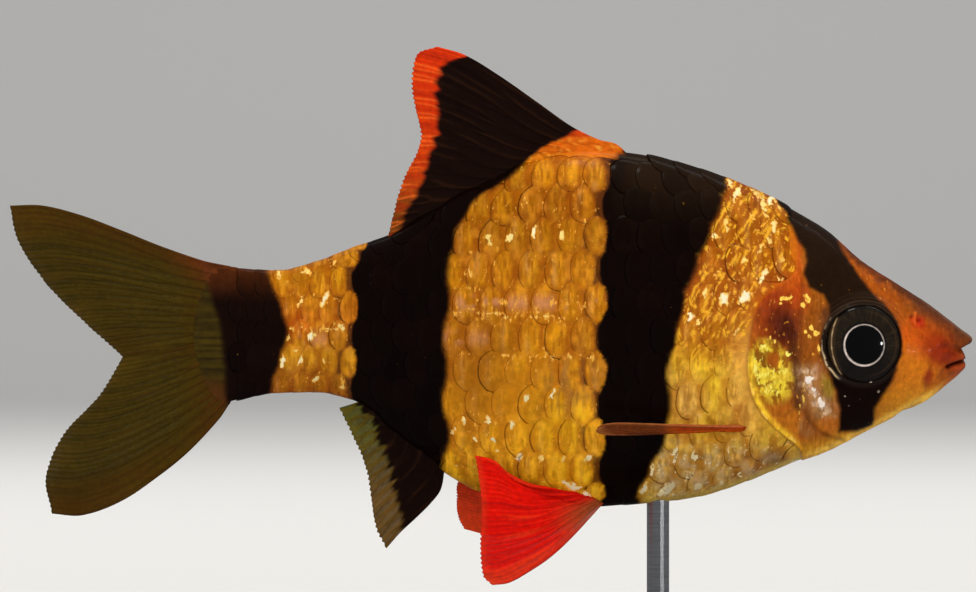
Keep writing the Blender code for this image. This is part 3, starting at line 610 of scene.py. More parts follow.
def painted(name, grain=900.0, grain_share=0.10, bump=0.1, bump_scale=2200.0, bump_reach=0.02,
            coat=0.25, coat_rough=0.15, specular=0.4, metal=True, cover=False, cell=None, ior=1.4,
            sheen=0.0, gleam=None):
    """Material that takes its colour and finish from the mesh, with fine grain and bump of its own, and painted glints
    where gleam is given.
    """
    m = bpy.data.materials.new(name)
    m.use_nodes = True
    t = m.node_tree
    b = t.nodes["Principled BSDF"]
    place = node(t, "ShaderNodeTexCoord")
    fine = node(t, "ShaderNodeTexNoise")
    fine.inputs["Scale"].default_value = grain
    fine.inputs["Detail"].default_value = 4.0
    t.links.new(place.outputs["Object"], fine.inputs["Vector"])
    tint = attribute(t, "tint")
    ramp = node(t, "ShaderNodeMapRange")
    ramp.inputs["From Min"].default_value = 0.3
    ramp.inputs["From Max"].default_value = 0.7
    ramp.inputs["To Min"].default_value = 1.0 - grain_share
    ramp.inputs["To Max"].default_value = 1.0 + grain_share
    t.links.new(fine.outputs["Fac"], ramp.inputs["Value"])
    mix = node(t, "ShaderNodeVectorMath", operation="SCALE")
    t.links.new(tint.outputs["Color"], mix.inputs[0])
    t.links.new(ramp.outputs["Result"], mix.inputs["Scale"])
    metal_from, rough_from = attribute(t, "metal").outputs["Fac"], attribute(t, "rough").outputs["Fac"]
    if gleam:
        # painted glints: bright highlight spots mixed into the base colour, closer together where the mesh says so
        stretch = node(t, "ShaderNodeMapping")
        stretch.inputs["Scale"].default_value = (1.0, 1.0, gleam[1])
        t.links.new(place.outputs["Object"], stretch.inputs["Vector"])
        spots = node(t, "ShaderNodeTexNoise")
        spots.inputs["Scale"].default_value = gleam[0]
        spots.inputs["Detail"].default_value = 2.5
        t.links.new(stretch.outputs["Vector"], spots.inputs["Vector"])
        total = node(t, "ShaderNodeMath", operation="ADD")
        t.links.new(spots.outputs["Fac"], total.inputs[0])
        t.links.new(attribute(t, "glint_share").outputs["Fac"], total.inputs[1])
        share = node(t, "ShaderNodeMapRange")
        share.inputs["From Min"].default_value = 1.03
        share.inputs["From Max"].default_value = 1.17
        t.links.new(total.outputs[0], share.inputs["Value"])
        both = node(t, "ShaderNodeMix", data_type="RGBA")
        t.links.new(share.outputs["Result"], both.inputs[0])
        t.links.new(mix.outputs[0], both.inputs[6])
        t.links.new(attribute(t, "gleam").outputs["Color"], both.inputs[7])
        t.links.new(both.outputs[2], b.inputs["Base Color"])
        more = node(t, "ShaderNodeMath", operation="MULTIPLY_ADD", use_clamp=True)
        t.links.new(share.outputs["Result"], more.inputs[0])
        more.inputs[1].default_value = 0.12
        t.links.new(metal_from, more.inputs[2])
        metal_from = more.outputs[0]
        less = node(t, "ShaderNodeMath", operation="MULTIPLY_ADD", use_clamp=True)
        t.links.new(share.outputs["Result"], less.inputs[0])
        less.inputs[1].default_value = -0.12
        t.links.new(rough_from, less.inputs[2])
        rough_from = less.outputs[0]
    else:
        t.links.new(mix.outputs[0], b.inputs["Base Color"])
    if metal:
        t.links.new(metal_from, b.inputs["Metallic"])
    rough = node(t, "ShaderNodeMath", operation="MULTIPLY_ADD")
    t.links.new(fine.outputs["Fac"], rough.inputs[0])
    rough.inputs[1].default_value = 0.16
    t.links.new(rough_from, rough.inputs[2])
    t.links.new(rough.outputs[0], b.inputs["Roughness"])
    if cover:
        t.links.new(attribute(t, "cover").outputs["Fac"], b.inputs["Alpha"])
    rises = node(t, "ShaderNodeTexNoise")
    rises.inputs["Scale"].default_value = bump_scale
    rises.inputs["Detail"].default_value = 3.0
    t.links.new(place.outputs["Object"], rises.inputs["Vector"])
    height = rises.outputs["Fac"]
    if cell:
        cells = node(t, "ShaderNodeTexVoronoi", feature="SMOOTH_F1")
        cells.inputs["Scale"].default_value = cell
        t.links.new(place.outputs["Object"], cells.inputs["Vector"])
        both = node(t, "ShaderNodeMath", operation="ADD")
        t.links.new(height, both.inputs[0])
        t.links.new(cells.outputs["Distance"], both.inputs[1])
        height = both.outputs[0]
    bumps = node(t, "ShaderNodeBump")
    bumps.inputs["Strength"].default_value = bump
    bumps.inputs["Distance"].default_value = bump_reach * MM
    t.links.new(height, bumps.inputs["Height"])
    t.links.new(bumps.outputs["Normal"], b.inputs["Normal"])
    b.inputs["Coat Weight"].default_value = coat
    b.inputs["Coat Roughness"].default_value = coat_rough
    b.inputs["Specular IOR Level"].default_value = specular
    b.inputs["IOR"].default_value = ior
    b.inputs["Sheen Weight"].default_value = sheen
    return m


# ---------------------------------------------------------------- the skin
AROUND = 560
head_s = 16.5 * (np.arange(291) / 290.0) ** 1.22
trunk_s = np.linspace(16.5, STANDARD_LENGTH, 76)[1:]
ring_s = np.concatenate([head_s, trunk_s])
turn = np.arange(AROUND) * 2 * math.pi / AROUND
turn = turn - 0.20 * np.sin(2 * turn)

EYE_TILT = float(half_width(EYE_S + 1.5) - half_width(EYE_S - 1.5)) / 3.0
EYE_Y = float(skin_y(EYE_S, EYE_H)) - EYE_SINK

GROOVE_LIP = [(970, 349.5), (964, 350.5), (957, 349), (946, 347.5), (938, 350), (933, 358), (929.5, 371), (926, 388)]
SLIT = [(972, 360.2), (965, 360.6), (957, 362.2), (950, 364.4), (945.5, 367)]
LIP_UP = [(972, 355.5), (965, 356.3), (956, 358.0), (949, 360.6)]
LIP_LOW = [(972, 366.5), (964, 366.5), (956, 368), (948, 371)]
JAW_FOLD = [(944, 368), (936, 378), (925, 392), (912, 405), (898, 417)]
THROAT = [(812, 462), (836, 450), (864, 436), (892, 421), (918, 402)]
SUBOPERCLE = [(797, 402), (784, 415), (768, 414), (757, 400)]
CHEEKBONE = [(832, 384), (846, 396), (866, 399), (886, 391), (902, 376)]


def relief(s, h, face):
    """Rise and fall of the head's surface in mm.  face is 1 on the flank and 0 on the midline."""
    x, y = grid_of(s, h)
    b = behind_gill(x, y)
    on_side = smooth(0.02, 0.25, face)
    d = 0.11 * smooth(-34, -3, b) * smooth(2.2, -0.4, b) * smooth(262, 285, y) * smooth(470, 450, y) * on_side
    d -= COAT * smooth(-0.4, 2.2, b) * smooth(250, 275, y) + COAT * smooth(-34, 4, b) * smooth(275, 250, y)
    d -= 0.02 * bell(b - 3.0, 2.5) * smooth(270, 290, y) * on_side
    pre, _ = along(PREOPERCLE, x, y)
    d -= 0.10 * bell(pre, 2.4) * on_side
    fore, _ = along([(p + 5.5, q) for p, q in PREOPERCLE], x, y)
    d += 0.05 * bell(fore, 4.0) * on_side
    sub, _ = along(through(SUBOPERCLE, np.linspace(0, 1, 16)), x, y)
    d -= 0.05 * bell(sub, 2.2)
    # mouth
    near = smooth(905, 930, x)
    groove, at = along(through(GROOVE_LIP, np.linspace(0, 1, 30)), x, y)
    d -= (0.46 * smooth(0.32, 0.05, at) + 0.12) * bell(groove, 4.2 - 1.6 * at) * near
    slit, at = along(through(SLIT, np.linspace(0, 1, 16)), x, y)
    d -= 0.40 * bell(slit, 1.9 - 0.6 * at) * near * (0.22 + 0.78 * smooth(0.10, 0.42, at))
    up, _ = along(LIP_UP, x, y)
    d += 0.17 * bell(up, 2.6) * near * smooth(972, 957, x)
    low, _ = along(LIP_LOW, x, y)
    d += 0.15 * bell(low, 3.0) * near * smooth(973, 956, x)
    fold, _ = along(through(JAW_FOLD, np.linspace(0, 1, 16)), x, y)
    d -= 0.07 * bell(fold, 2.4)
    max_bulge, _ = along([(938, 372), (931, 384)], x, y)
    d += 0.06 * bell(max_bulge, 5.0)
    # nostrils: two openings with a flap of skin between them
    for (nx, ny, r, deep) in ((916.5, 320.5, 3.2, 0.20), (909.5, 317.0, 3.0, 0.15)):
        q = np.hypot(x - nx, y - ny)
        d -= deep * bell(q, r)
    flap, _ = along([(913.6, 314.0), (912.6, 318.5), (913.4, 324.0)], x, y)
    d += 0.08 * bell(flap, 1.6)
    rim = np.hypot(x - 913.5, (y - 319.5) * 1.15)
    d += 0.035 * bell(rim - 8.0, 2.0)
    # throat and cheek
    throat, _ = along(THROAT, x, y)
    d -= 0.08 * bell(throat, 2.4)
    bone, _ = along(through(CHEEKBONE, np.linspace(0, 1, 20)), x, y)
    d -= 0.045 * bell(bone, 2.4)
    # pores of the head canals
    for nx, ny in ((842, 400), (857, 404), (874, 401), (890, 392), (904, 380), (913, 364), (812, 300), (826, 288),
                   (806, 345), (806, 372), (811, 404), (822, 421), (846, 262), (866, 284), (886, 303), (905, 312)):
        d -= 0.045 * bell(np.hypot(x - nx, y - ny), 1.6)
    d += 0.012 * cloud(x / 7.0, y / 7.0, 5.0, 71) * smooth(4, -6, b)
    return d


def shape_skin():
    s = np.repeat(ring_s[:, None], AROUND, 1)
    a = np.repeat(turn[None, :], len(ring_s), 0)
    p = hull_point(s, a)
    before = np.concatenate([p[:, -1:], p, p[:, :1]], 1)
    du = np.gradient(p, axis=0)
    dv = np.gradient(before, axis=1)[:, 1:-1]
    n = np.cross(du, dv)
    n /= np.maximum(np.linalg.norm(n, axis=-1), 1e-9)[..., None]
    middle = p.mean(axis=1, keepdims=True)
    out = np.sign(np.sum(n * (p - middle), -1))
    n *= np.where(out == 0, 1, out)[..., None]
    h = p[..., 2] - AXIS_Z
    side = np.sign(np.cos(a))
    d = relief(s, h, np.abs(np.cos(a)))
    q = p + n * d[..., None]
    # the upper lip stands a little behind the tip of the snout
    gx, gy = grid_of(s, h)
    q[..., 0] -= 0.16 * bell(gy - 356.0, 3.4) * smooth(957, 966, gx)
    # the eye socket
    r = np.hypot(s - EYE_S, h - EYE_H)
    plane = EYE_Y + EYE_TILT * (s - EYE_S)
    natural = np.abs(q[..., 1])
    rim = np.clip(natural - plane + 0.10, 0.12, 0.31)
    rim = rim + 0.05 * bell(r - 2.80, 0.09)
    up = np.degrees(np.arctan2(h - EYE_H, -(s - EYE_S))) % 360
    above = smooth(30, 60, up) * smooth(150, 120, up)
    rim = rim - 0.05 * above * (bell(r - 2.98, 0.07) + bell(r - 3.16, 0.07))
    inner = -0.95 + (rim + 0.95) * smooth(2.12, 2.60, r)
    w = smooth(3.45, 2.78, r)
    y = natural + (plane + inner - natural) * w
    q[..., 1] = np.where(r < 3.5, side * y, q[..., 1])
    return q, s, h, a


skin_p, skin_s, skin_h, skin_a = shape_skin()

# the skin runs out over the root of the tail fin
out_u = np.linspace(0, 1, 27)[1:]
last_h = skin_h[-1]
mid_h, half_h = (last_h.max() + last_h.min()) / 2, (last_h.max() - last_h.min()) / 2
rel = (last_h - mid_h) / half_h
ext = []
for u in out_u:
    s = STANDARD_LENGTH + 2.6 * u * (1 - 0.52 * rel ** 2)
    y = (skin_p[-1][:, 1] - swing(STANDARD_LENGTH)) * (1 - u) ** 0.75 + 0.02 * np.sign(np.cos(turn))
    h = mid_h + (last_h - mid_h) * (1 + 0.05 * u) - 0.12 * u * (rel < 0) * np.abs(rel) ** 3
    ext.append(np.stack([SNOUT_X - s, y + swing(s), AXIS_Z + h], -1))
ext = np.array(ext)
skin_p = np.concatenate([skin_p, ext])
skin_s = SNOUT_X - skin_p[..., 0]
skin_h = skin_p[..., 2] - AXIS_Z

rows_n = skin_p.shape[0]
index = np.arange(rows_n * AROUND).reshape(rows_n, AROUND)
nxt = np.roll(index, -1, axis=1)
skin_quads = np.stack([index[:-1], nxt[:-1], nxt[1:], index[1:]], -1).reshape(-1, 4)
front_c, rear_c = rows_n * AROUND, rows_n * AROUND + 1
skin_tris = np.concatenate([
    np.stack([nxt[0], index[0], np.full(AROUND, front_c)], -1),
    np.stack([index[-1], nxt[-1], np.full(AROUND, rear_c)], -1),
])
skin_v = np.concatenate([skin_p.reshape(-1, 3), skin_p[0].mean(0, keepdims=True), skin_p[-1].mean(0, keepdims=True)])


def skin_paint(v):
    """Colour, metal and roughness of the skin at points given as X, Y, Z in mm."""
    s, h = SNOUT_X - v[:, 0], v[:, 2] - AXIS_Z
    x, y = grid_of(s, h)
    b = behind_gill(x, y)
    body = smooth(-1.0, 1.5, b)
    c, metal, rough = head_tone(x, y)
    c = lay(c, gold_tone(x, y), body)
    metal = metal * (1 - body) + 0.12 * body
    rough = rough * (1 - body) + 0.42 * body
    flank, head = dark_bands(x, y)
    ring, bead = outside_eye(x, y)
    dark = np.clip(np.maximum(flank, head), 0, 1)
    tones = band_tone(x, y)
    upper = smooth(330, 290, y) * smooth(760, 770, x)
    head_dark = lay(np.broadcast_to(tone(26, 9, 4), (*x.shape, 3)), tone(44, 26, 11), upper)
    tones = lay(tones, head_dark, smooth(740, 760, x))
    c = lay(c, tones, dark)
    metal, rough = metal * (1 - dark) + 0.6 * dark, rough + (0.46 - rough) * dark
    near_eye = (s > 3.0) & (s < 12.0)
    ring = ring * near_eye
    c = lay(c, tone(24, 14, 8), ring)
    # painted highlight: lighter arcs along the skin folds above the eye
    over = smooth(12, 34, np.degrees(np.arctan2(h - EYE_H, np.abs(s - EYE_S - 0.4)))) * near_eye
    far = np.hypot(s - EYE_S, h - EYE_H) + 0.05 * noise(x / 9.0, y / 9.0, 0.0, 93)
    folds = bell(far - 2.70, 0.045) + 0.9 * bell(far - 2.90, 0.05) + 0.7 * bell(far - 3.14, 0.06) + 0.4 * bell(far - 3.42, 0.08)
    c = lay(c, tone(74, 54, 36), 0.55 * folds * over)
    c = lay(c, tone(226, 196, 150), bead * near_eye * 0.9)
    metal = metal * (1 - ring)
    # inside of the mouth and the nostrils, drawn dark as painted shade in the slit and the hollows, then the lips and
    # the flap between the nostrils
    slit, _ = along(through(SLIT, np.linspace(0, 1, 16)), x, y)
    c = lay(c, tone(48, 7, 4), 0.95 * bell(slit, 2.3) * smooth(938, 946, x))
    lips, _ = along([(970, 358), (958, 360), (949, 364), (956, 368), (968, 367)], x, y)
    c = lay(c, tone(168, 66, 30), 0.5 * bell(lips, 3.2) * (1 - bell(slit, 1.6)))
    for nx, ny in ((916.5, 320.5), (909.5, 317.0)):
        c = lay(c, tone(110, 22, 6), 0.70 * bell(np.hypot(x - nx, y - ny), 2.2))
    flap, _ = along([(913.0, 313.0), (911.8, 318.0), (912.8, 324.0)], x, y)
    c = lay(c, tone(212, 96, 28), 0.6 * bell(flap, 1.5))
    # painted shade along the groove in front of the gill cover and along the throat groove
    pre, _ = along(PREOPERCLE, x, y)
    c = lay(c, tone(92, 44, 12), 0.45 * bell(pre, 2.0))
    throat, _ = along(THROAT, x, y)
    c = lay(c, tone(120, 62, 14), 0.45 * bell(throat, 2.0))
    # painted shade under the free edge of the gill cover
    edge, _ = along(GILL_FREE, x, y)
    c = lay(c, tone(96, 44, 8), (0.15 + 0.15 * smooth(370, 410, y)) * bell(edge + np.where(b > 0, 0.0, 3.0), 2.4) * smooth(276, 290, y))
    glint_share, gleam = head_gleam(x, y)
    glint_share = np.where((dark > 0.5) & (glint_share < 0.58), 0.30, glint_share)
    return np.clip(c, 0, 1), np.clip(metal, 0, 1), np.clip(rough, 0.05, 1), glint_share * (1 - 0.6 * body), gleam


SKIN = painted("fish_skin", grain=2600, grain_share=0.16, bump=0.35, bump_scale=4200, bump_reach=0.03,
               coat=0.12, coat_rough=0.16, specular=0.14, cell=7000, gleam=(3900, 0.62))
tint, metal, rough, glint_share, gleam = skin_paint(skin_v)
body = build("skin", skin_v, skin_quads, skin_tris, tint, metal, rough, skin=SKIN, glint_share=glint_share, gleam=gleam)
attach(body, "root")
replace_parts(body, "head", "lower_jaw", "gill_cover_left", "gill_cover_right", "trunk", "tail_stem")


# ---------------------------------------------------------------- scales
PITCH = [(9.0, 1.42), (13.0, 1.52), (17.0, 1.62), (22.0, 1.72), (28.0, 1.76), (34.0, 1.72), (39.0, 1.50), (43.0, 1.30),
         (50.5, 1.14)]
FULL_PITCH, FULL_RISE = 1.74, 2.25
REAR, FORE, TALL = 1.16, 1.95, 1.46       # how far a full-size scale reaches back, forwards and up
PLATE = 0.024                             # its thickness


def pitch(s):
    t = np.array(PITCH)
    return np.interp(s, t[:, 0], t[:, 1])


def columns(start, n_back, n_fore):
    """Places along the body of the scale columns, half a step apart, with their number."""
    out, s = [(0.0, start)], start
    for i in range(1, n_back + 1):
        s = s + pitch(s) / 2
        out.append((i / 2, s))
    s = start
    for i in range(1, n_fore + 1):
        s = s - pitch(s) / 2
        out.append((-i / 2, s))
    return sorted(out)


def row_line(s):
    """Height of the row of scales that runs along the middle of the flank."""
    return np.interp(s, [9, 14, 20, 36, 44, 50], [1.2, 0.5, -0.45, -0.47, -0.30, -0.15])


def section(s, n=700):
    """Angles round half a section, past back and belly, with the arc length from the middle row."""
    alpha = np.linspace(-math.pi / 2 - 1.1, math.pi / 2 + 1.1, n)
    p = hull_point(np.full(n, s), alpha, -COAT)
    arc = np.concatenate([[0], np.cumsum(np.linalg.norm(np.diff(p, axis=0), axis=1))])
    top, low = back(s) - COAT, belly(s) + COAT
    a0 = math.asin(float(np.clip((row_line(s) - (top + low) / 2) / ((top - low) / 2), -1, 1)))
    return alpha, arc - np.interp(a0, alpha, arc)


RINGS_TOP, RINGS_LOW, SPOKES = 14, 3, 42
spoke = np.arange(SPOKES) * 2 * math.pi / SPOKES
rho_top = np.linspace(0, 1, RINGS_TOP + 1)[1:]
rho_top = rho_top ** 0.92
rho_low = np.linspace(0, 1, RINGS_LOW + 1)[1:-1]


def leaf(rho, th):
    """Outline of a scale: (towards the tail, upwards), for a full-size one."""
    c, s = np.cos(th), np.sin(th)
    p = np.where(c > 0, REAR * np.sign(c) * np.abs(c) ** 0.92, FORE * np.sign(c) * np.abs(c) ** 0.8) * rho
    q = TALL * np.sign(s) * np.abs(s) ** 0.95 * rho
    return p, q


def template():
    tp, tq = leaf(rho_top[:, None], spoke[None, :])
    lp, lq = leaf(rho_low[:, None], spoke[None, :])
    p = np.concatenate([[0.0], tp.ravel(), lp.ravel(), [0.0]])
    q = np.concatenate([[0.0], tq.ravel(), lq.ravel(), [0.0]])
    rho = np.concatenate([[0.0], np.repeat(rho_top, SPOKES), np.repeat(rho_low, SPOKES), [0.0]])
    under = np.zeros(len(p), bool)
    under[1 + RINGS_TOP * SPOKES:] = True
    top = 1 + np.arange(RINGS_TOP * SPOKES).reshape(RINGS_TOP, SPOKES)
    low = 1 + RINGS_TOP * SPOKES + np.arange((RINGS_LOW - 1) * SPOKES).reshape(RINGS_LOW - 1, SPOKES)
    chain = np.concatenate([top, low[::-1]])
    nx = np.roll(chain, -1, axis=1)
    quads = np.stack([chain[:-1], nx[:-1], nx[1:], chain[1:]], -1).reshape(-1, 4)
    last = len(p) - 1
    tris = np.concatenate([
        np.stack([nx[0], chain[0], np.zeros(SPOKES, int)], -1),
        np.stack([chain[-1], nx[-1], np.full(SPOKES, last)], -1),
    ])
    return p, q, rho, under, quads, tris


T_P, T_Q, T_RHO, T_UNDER, T_QUADS, T_TRIS = template()


def scale_places():
    """Centre of every scale of one side as (column, row, s, angle, arc, size, median)."""
    out = []
    for number, s in columns(27.55, 30, 26):
        if s < 9.8 or s > 49.6:
            continue
        alpha, arc = section(s)
        size = float(pitch(s)) / FULL_PITCH
        rise = FULL_RISE * size ** 0.8
        top, low = np.interp(math.pi / 2, alpha, arc), np.interp(-math.pi / 2, alpha, arc)
        odd = int(round(number * 2)) % 2
        for r in range(-8, 9):
            if r % 2 != odd:
                continue
            a = r * rise
            if not low + 0.38 * rise < a < top - 0.38 * rise:
                continue
            out.append((number, r, s, a, size, 0))
        if odd == 0:
            if not 21.8 < s < 37.2:
                out.append((number, 9, s, top, size * 1.02, 1))
            if not 34.6 < s < 41.4:
                out.append((number, -9, s, low, size * 1.02, -1))
    kept = []
    for number, r, s, a, size, median in out:
        alpha, arc = section(s)
        ang = float(np.interp(a, arc, alpha))
        top, low = back(s) - COAT, belly(s) + COAT
        h = (top + low) / 2 + (top - low) / 2 * math.sin(ang)
        x, y = grid_of(s, h)
        b = float(behind_gill(x, y))
        if y > 452:
            b = float(np.interp(y, [452, 470, 500], [800 - x, 806 - x, 812 - x]))
        if b < (4.0 if y > 262 else 3.0):
            continue
        kept.append((number, r, s, a, size, median, x, y))
    return kept


PLACES = scale_places()
SIDE_ROWS = sorted({p[1] for p in PLACES})


def shape_scales(places, side, seed):
    """Arrays of one joined piece of scales."""
    rng = np.random.default_rng(seed)
    n, m = len(places), len(T_P)
    s_c = np.array([p[2] for p in places])
    a_c = np.array([p[3] for p in places])
    size = np.array([p[4] for p in places])
    median = np.array([abs(p[5]) for p in places])
    rnd = rng.uniform(-1, 1, (n, 8))
    jitter = 1 + 0.05 * rnd[:, 0]
    # the rear edge of each scale is a little uneven
    th = np.concatenate([[0.0], np.tile(spoke, RINGS_TOP), np.tile(spoke, RINGS_LOW - 1), [0.0]])
    uneven = 1 + 0.020 * np.sin(3 * th[None, :] + 6 * rnd[:, 1:2]) * T_RHO + 0.012 * np.sin(7 * th[None, :] + 6 * rnd[:, 2:3]) * T_RHO
    p = T_P[None, :] * size[:, None] * jitter[:, None] * uneven
    q = T_Q[None, :] * (size ** 0.85)[:, None] * uneven * (1 + 0.25 * median[:, None])
    lean = np.radians(2.5) * rnd[:, 3:4]
    p, q = p * np.cos(lean) - q * np.sin(lean), p * np.sin(lean) + q * np.cos(lean)

    def place(pp, qq):
        ang = np.empty((n, m))
        for i in range(n):
            alpha, arc = TABLES[places[i][2]]
            ang[i] = np.interp(a_c[i] + qq[i], arc, alpha)
        ss = s_c[:, None] + pp
        if side < 0:
            ang = math.pi - ang
        return hull_point(ss, ang, -COAT)

    e = 0.02
    base = place(p, q)
    dp, dq = (place(p + e, q) - base) / e, (place(p, q + e) - base) / e
    nrm = np.cross(dp, dq) * side
    nrm /= np.maximum(np.linalg.norm(nrm, axis=-1), 1e-9)[..., None]
    centre_out = base - np.stack([base[..., 0], swing(SNOUT_X - base[..., 0]), np.full(base.shape[:2], AXIS_Z)], -1)
    bad = np.sum(nrm * centre_out, -1) < 0
    nrm = np.where(bad[..., None], -nrm, nrm)
    rel = (p + FORE * size[:, None]) / ((REAR + FORE) * size[:, None])
    lift = 0.014 + 0.080 * np.clip(rel, 0, 1) ** 1.15 * size[:, None]
    lift = lift + 0.014 * (1 - T_RHO[None, :] ** 2) * size[:, None] + 0.02 * median[:, None]
    lift = lift - 0.026 * smooth(0.74, 1.0, T_RHO)[None, :]
    lift = lift + 0.008 * rnd[:, 4:5] + 0.012 * rnd[:, 5:6] * q
    # fine growth rings and the channel down the middle of the scale
    lift = lift + 0.0035 * np.sin(T_RHO[None, :] * 38 + rnd[:, 6:7] * 3) * smooth(0.25, 0.5, T_RHO)[None, :]
    gx, gy = grid_of(SNOUT_X - base[..., 0], base[..., 2] - AXIS_Z)
    lift = lift - 0.26 * smooth(13.0, -2.0, behind_gill(gx, gy)) * smooth(268, 250, gy)
    lift = np.where(T_UNDER[None, :], lift - PLATE * smooth(1.0, 0.8, T_RHO)[None, :], lift)
    verts = base + nrm * lift[..., None]
    return verts, p / size[:, None], q / (size ** 0.85)[:, None], rnd


TABLES = {s: section(s) for s in {p[2] for p in PLACES}}


# the middle of what shows of each scale, and how large that is, in the side view
CELL_X = np.array([pl[6] - 0.27 * pl[4] / 0.067 for pl in PLACES])
CELL_Y = np.array([pl[7] for pl in PLACES])
CELL_RX = np.array([0.66 * pl[4] / 0.067 for pl in PLACES])
CELL_RY = []
for pl in PLACES:
    alpha, arc = TABLES[pl[2]]
    top, low = back(pl[2]) - COAT, belly(pl[2]) + COAT
    y2 = [(top - low) / 2 * math.sin(float(np.interp(pl[3] + d, arc, alpha))) for d in (-0.3, 0.3)]
    CELL_RY.append(max(1.30 * pl[4] ** 0.85 * abs(y2[1] - y2[0]) / 0.6 / 0.067, 5.0))
CELL_RY = np.array(CELL_RY)
CELL_RND = np.random.default_rng(77).uniform(-1, 1, (len(PLACES), 6))


def band_depth(x, y):
    """How far inside a dark band a place lies, in grid units, negative outside all of them."""
    wx, wy = wobble(x, y, 16.0, 1.6, 3)
    d = -inside(HEAD_BAND, wx, wy)
    for front, rear in ((SHOULDER_FRONT, SHOULDER_REAR), (FIN_BAND_FRONT, FIN_BAND_REAR), (TAIL_BAND_FRONT, TAIL_BAND_REAR)):
        d = np.maximum(d, np.minimum(edge_at(front, wy) - wx, wx - edge_at(rear, wy)))
    return d


CELL_GOLD = band_depth(CELL_X, CELL_Y) < 0


def nearest_cells(x, y):
    """Distance to the nearest golden and the nearest dark scale, in scale sizes, and which golden one it is."""
    gold, dark = np.full(x.shape, 9.0), np.full(x.shape, 9.0)
    which = np.zeros(x.shape, int)
    for i in range(len(CELL_X)):
        near = (np.abs(x - CELL_X[i]) < 46) & (np.abs(y - CELL_Y[i]) < 60)
        if not near.any():
            continue
        dx, dy = (x[near] - CELL_X[i]) / CELL_RX[i], (y[near] - CELL_Y[i]) / CELL_RY[i]
        dx = dx * (1 + 0.10 * CELL_RND[i, 0]) + 0.10 * CELL_RND[i, 1] * dy
        d = (np.abs(dx) ** 2.4 + np.abs(dy) ** 3.2) ** 0.36
        if CELL_GOLD[i]:
            old = gold[near]
            which[near] = np.where(d < old, i, which[near])
            gold[near] = np.minimum(old, d)
        else:
            dark[near] = np.minimum(dark[near], d)
    return gold, dark, which
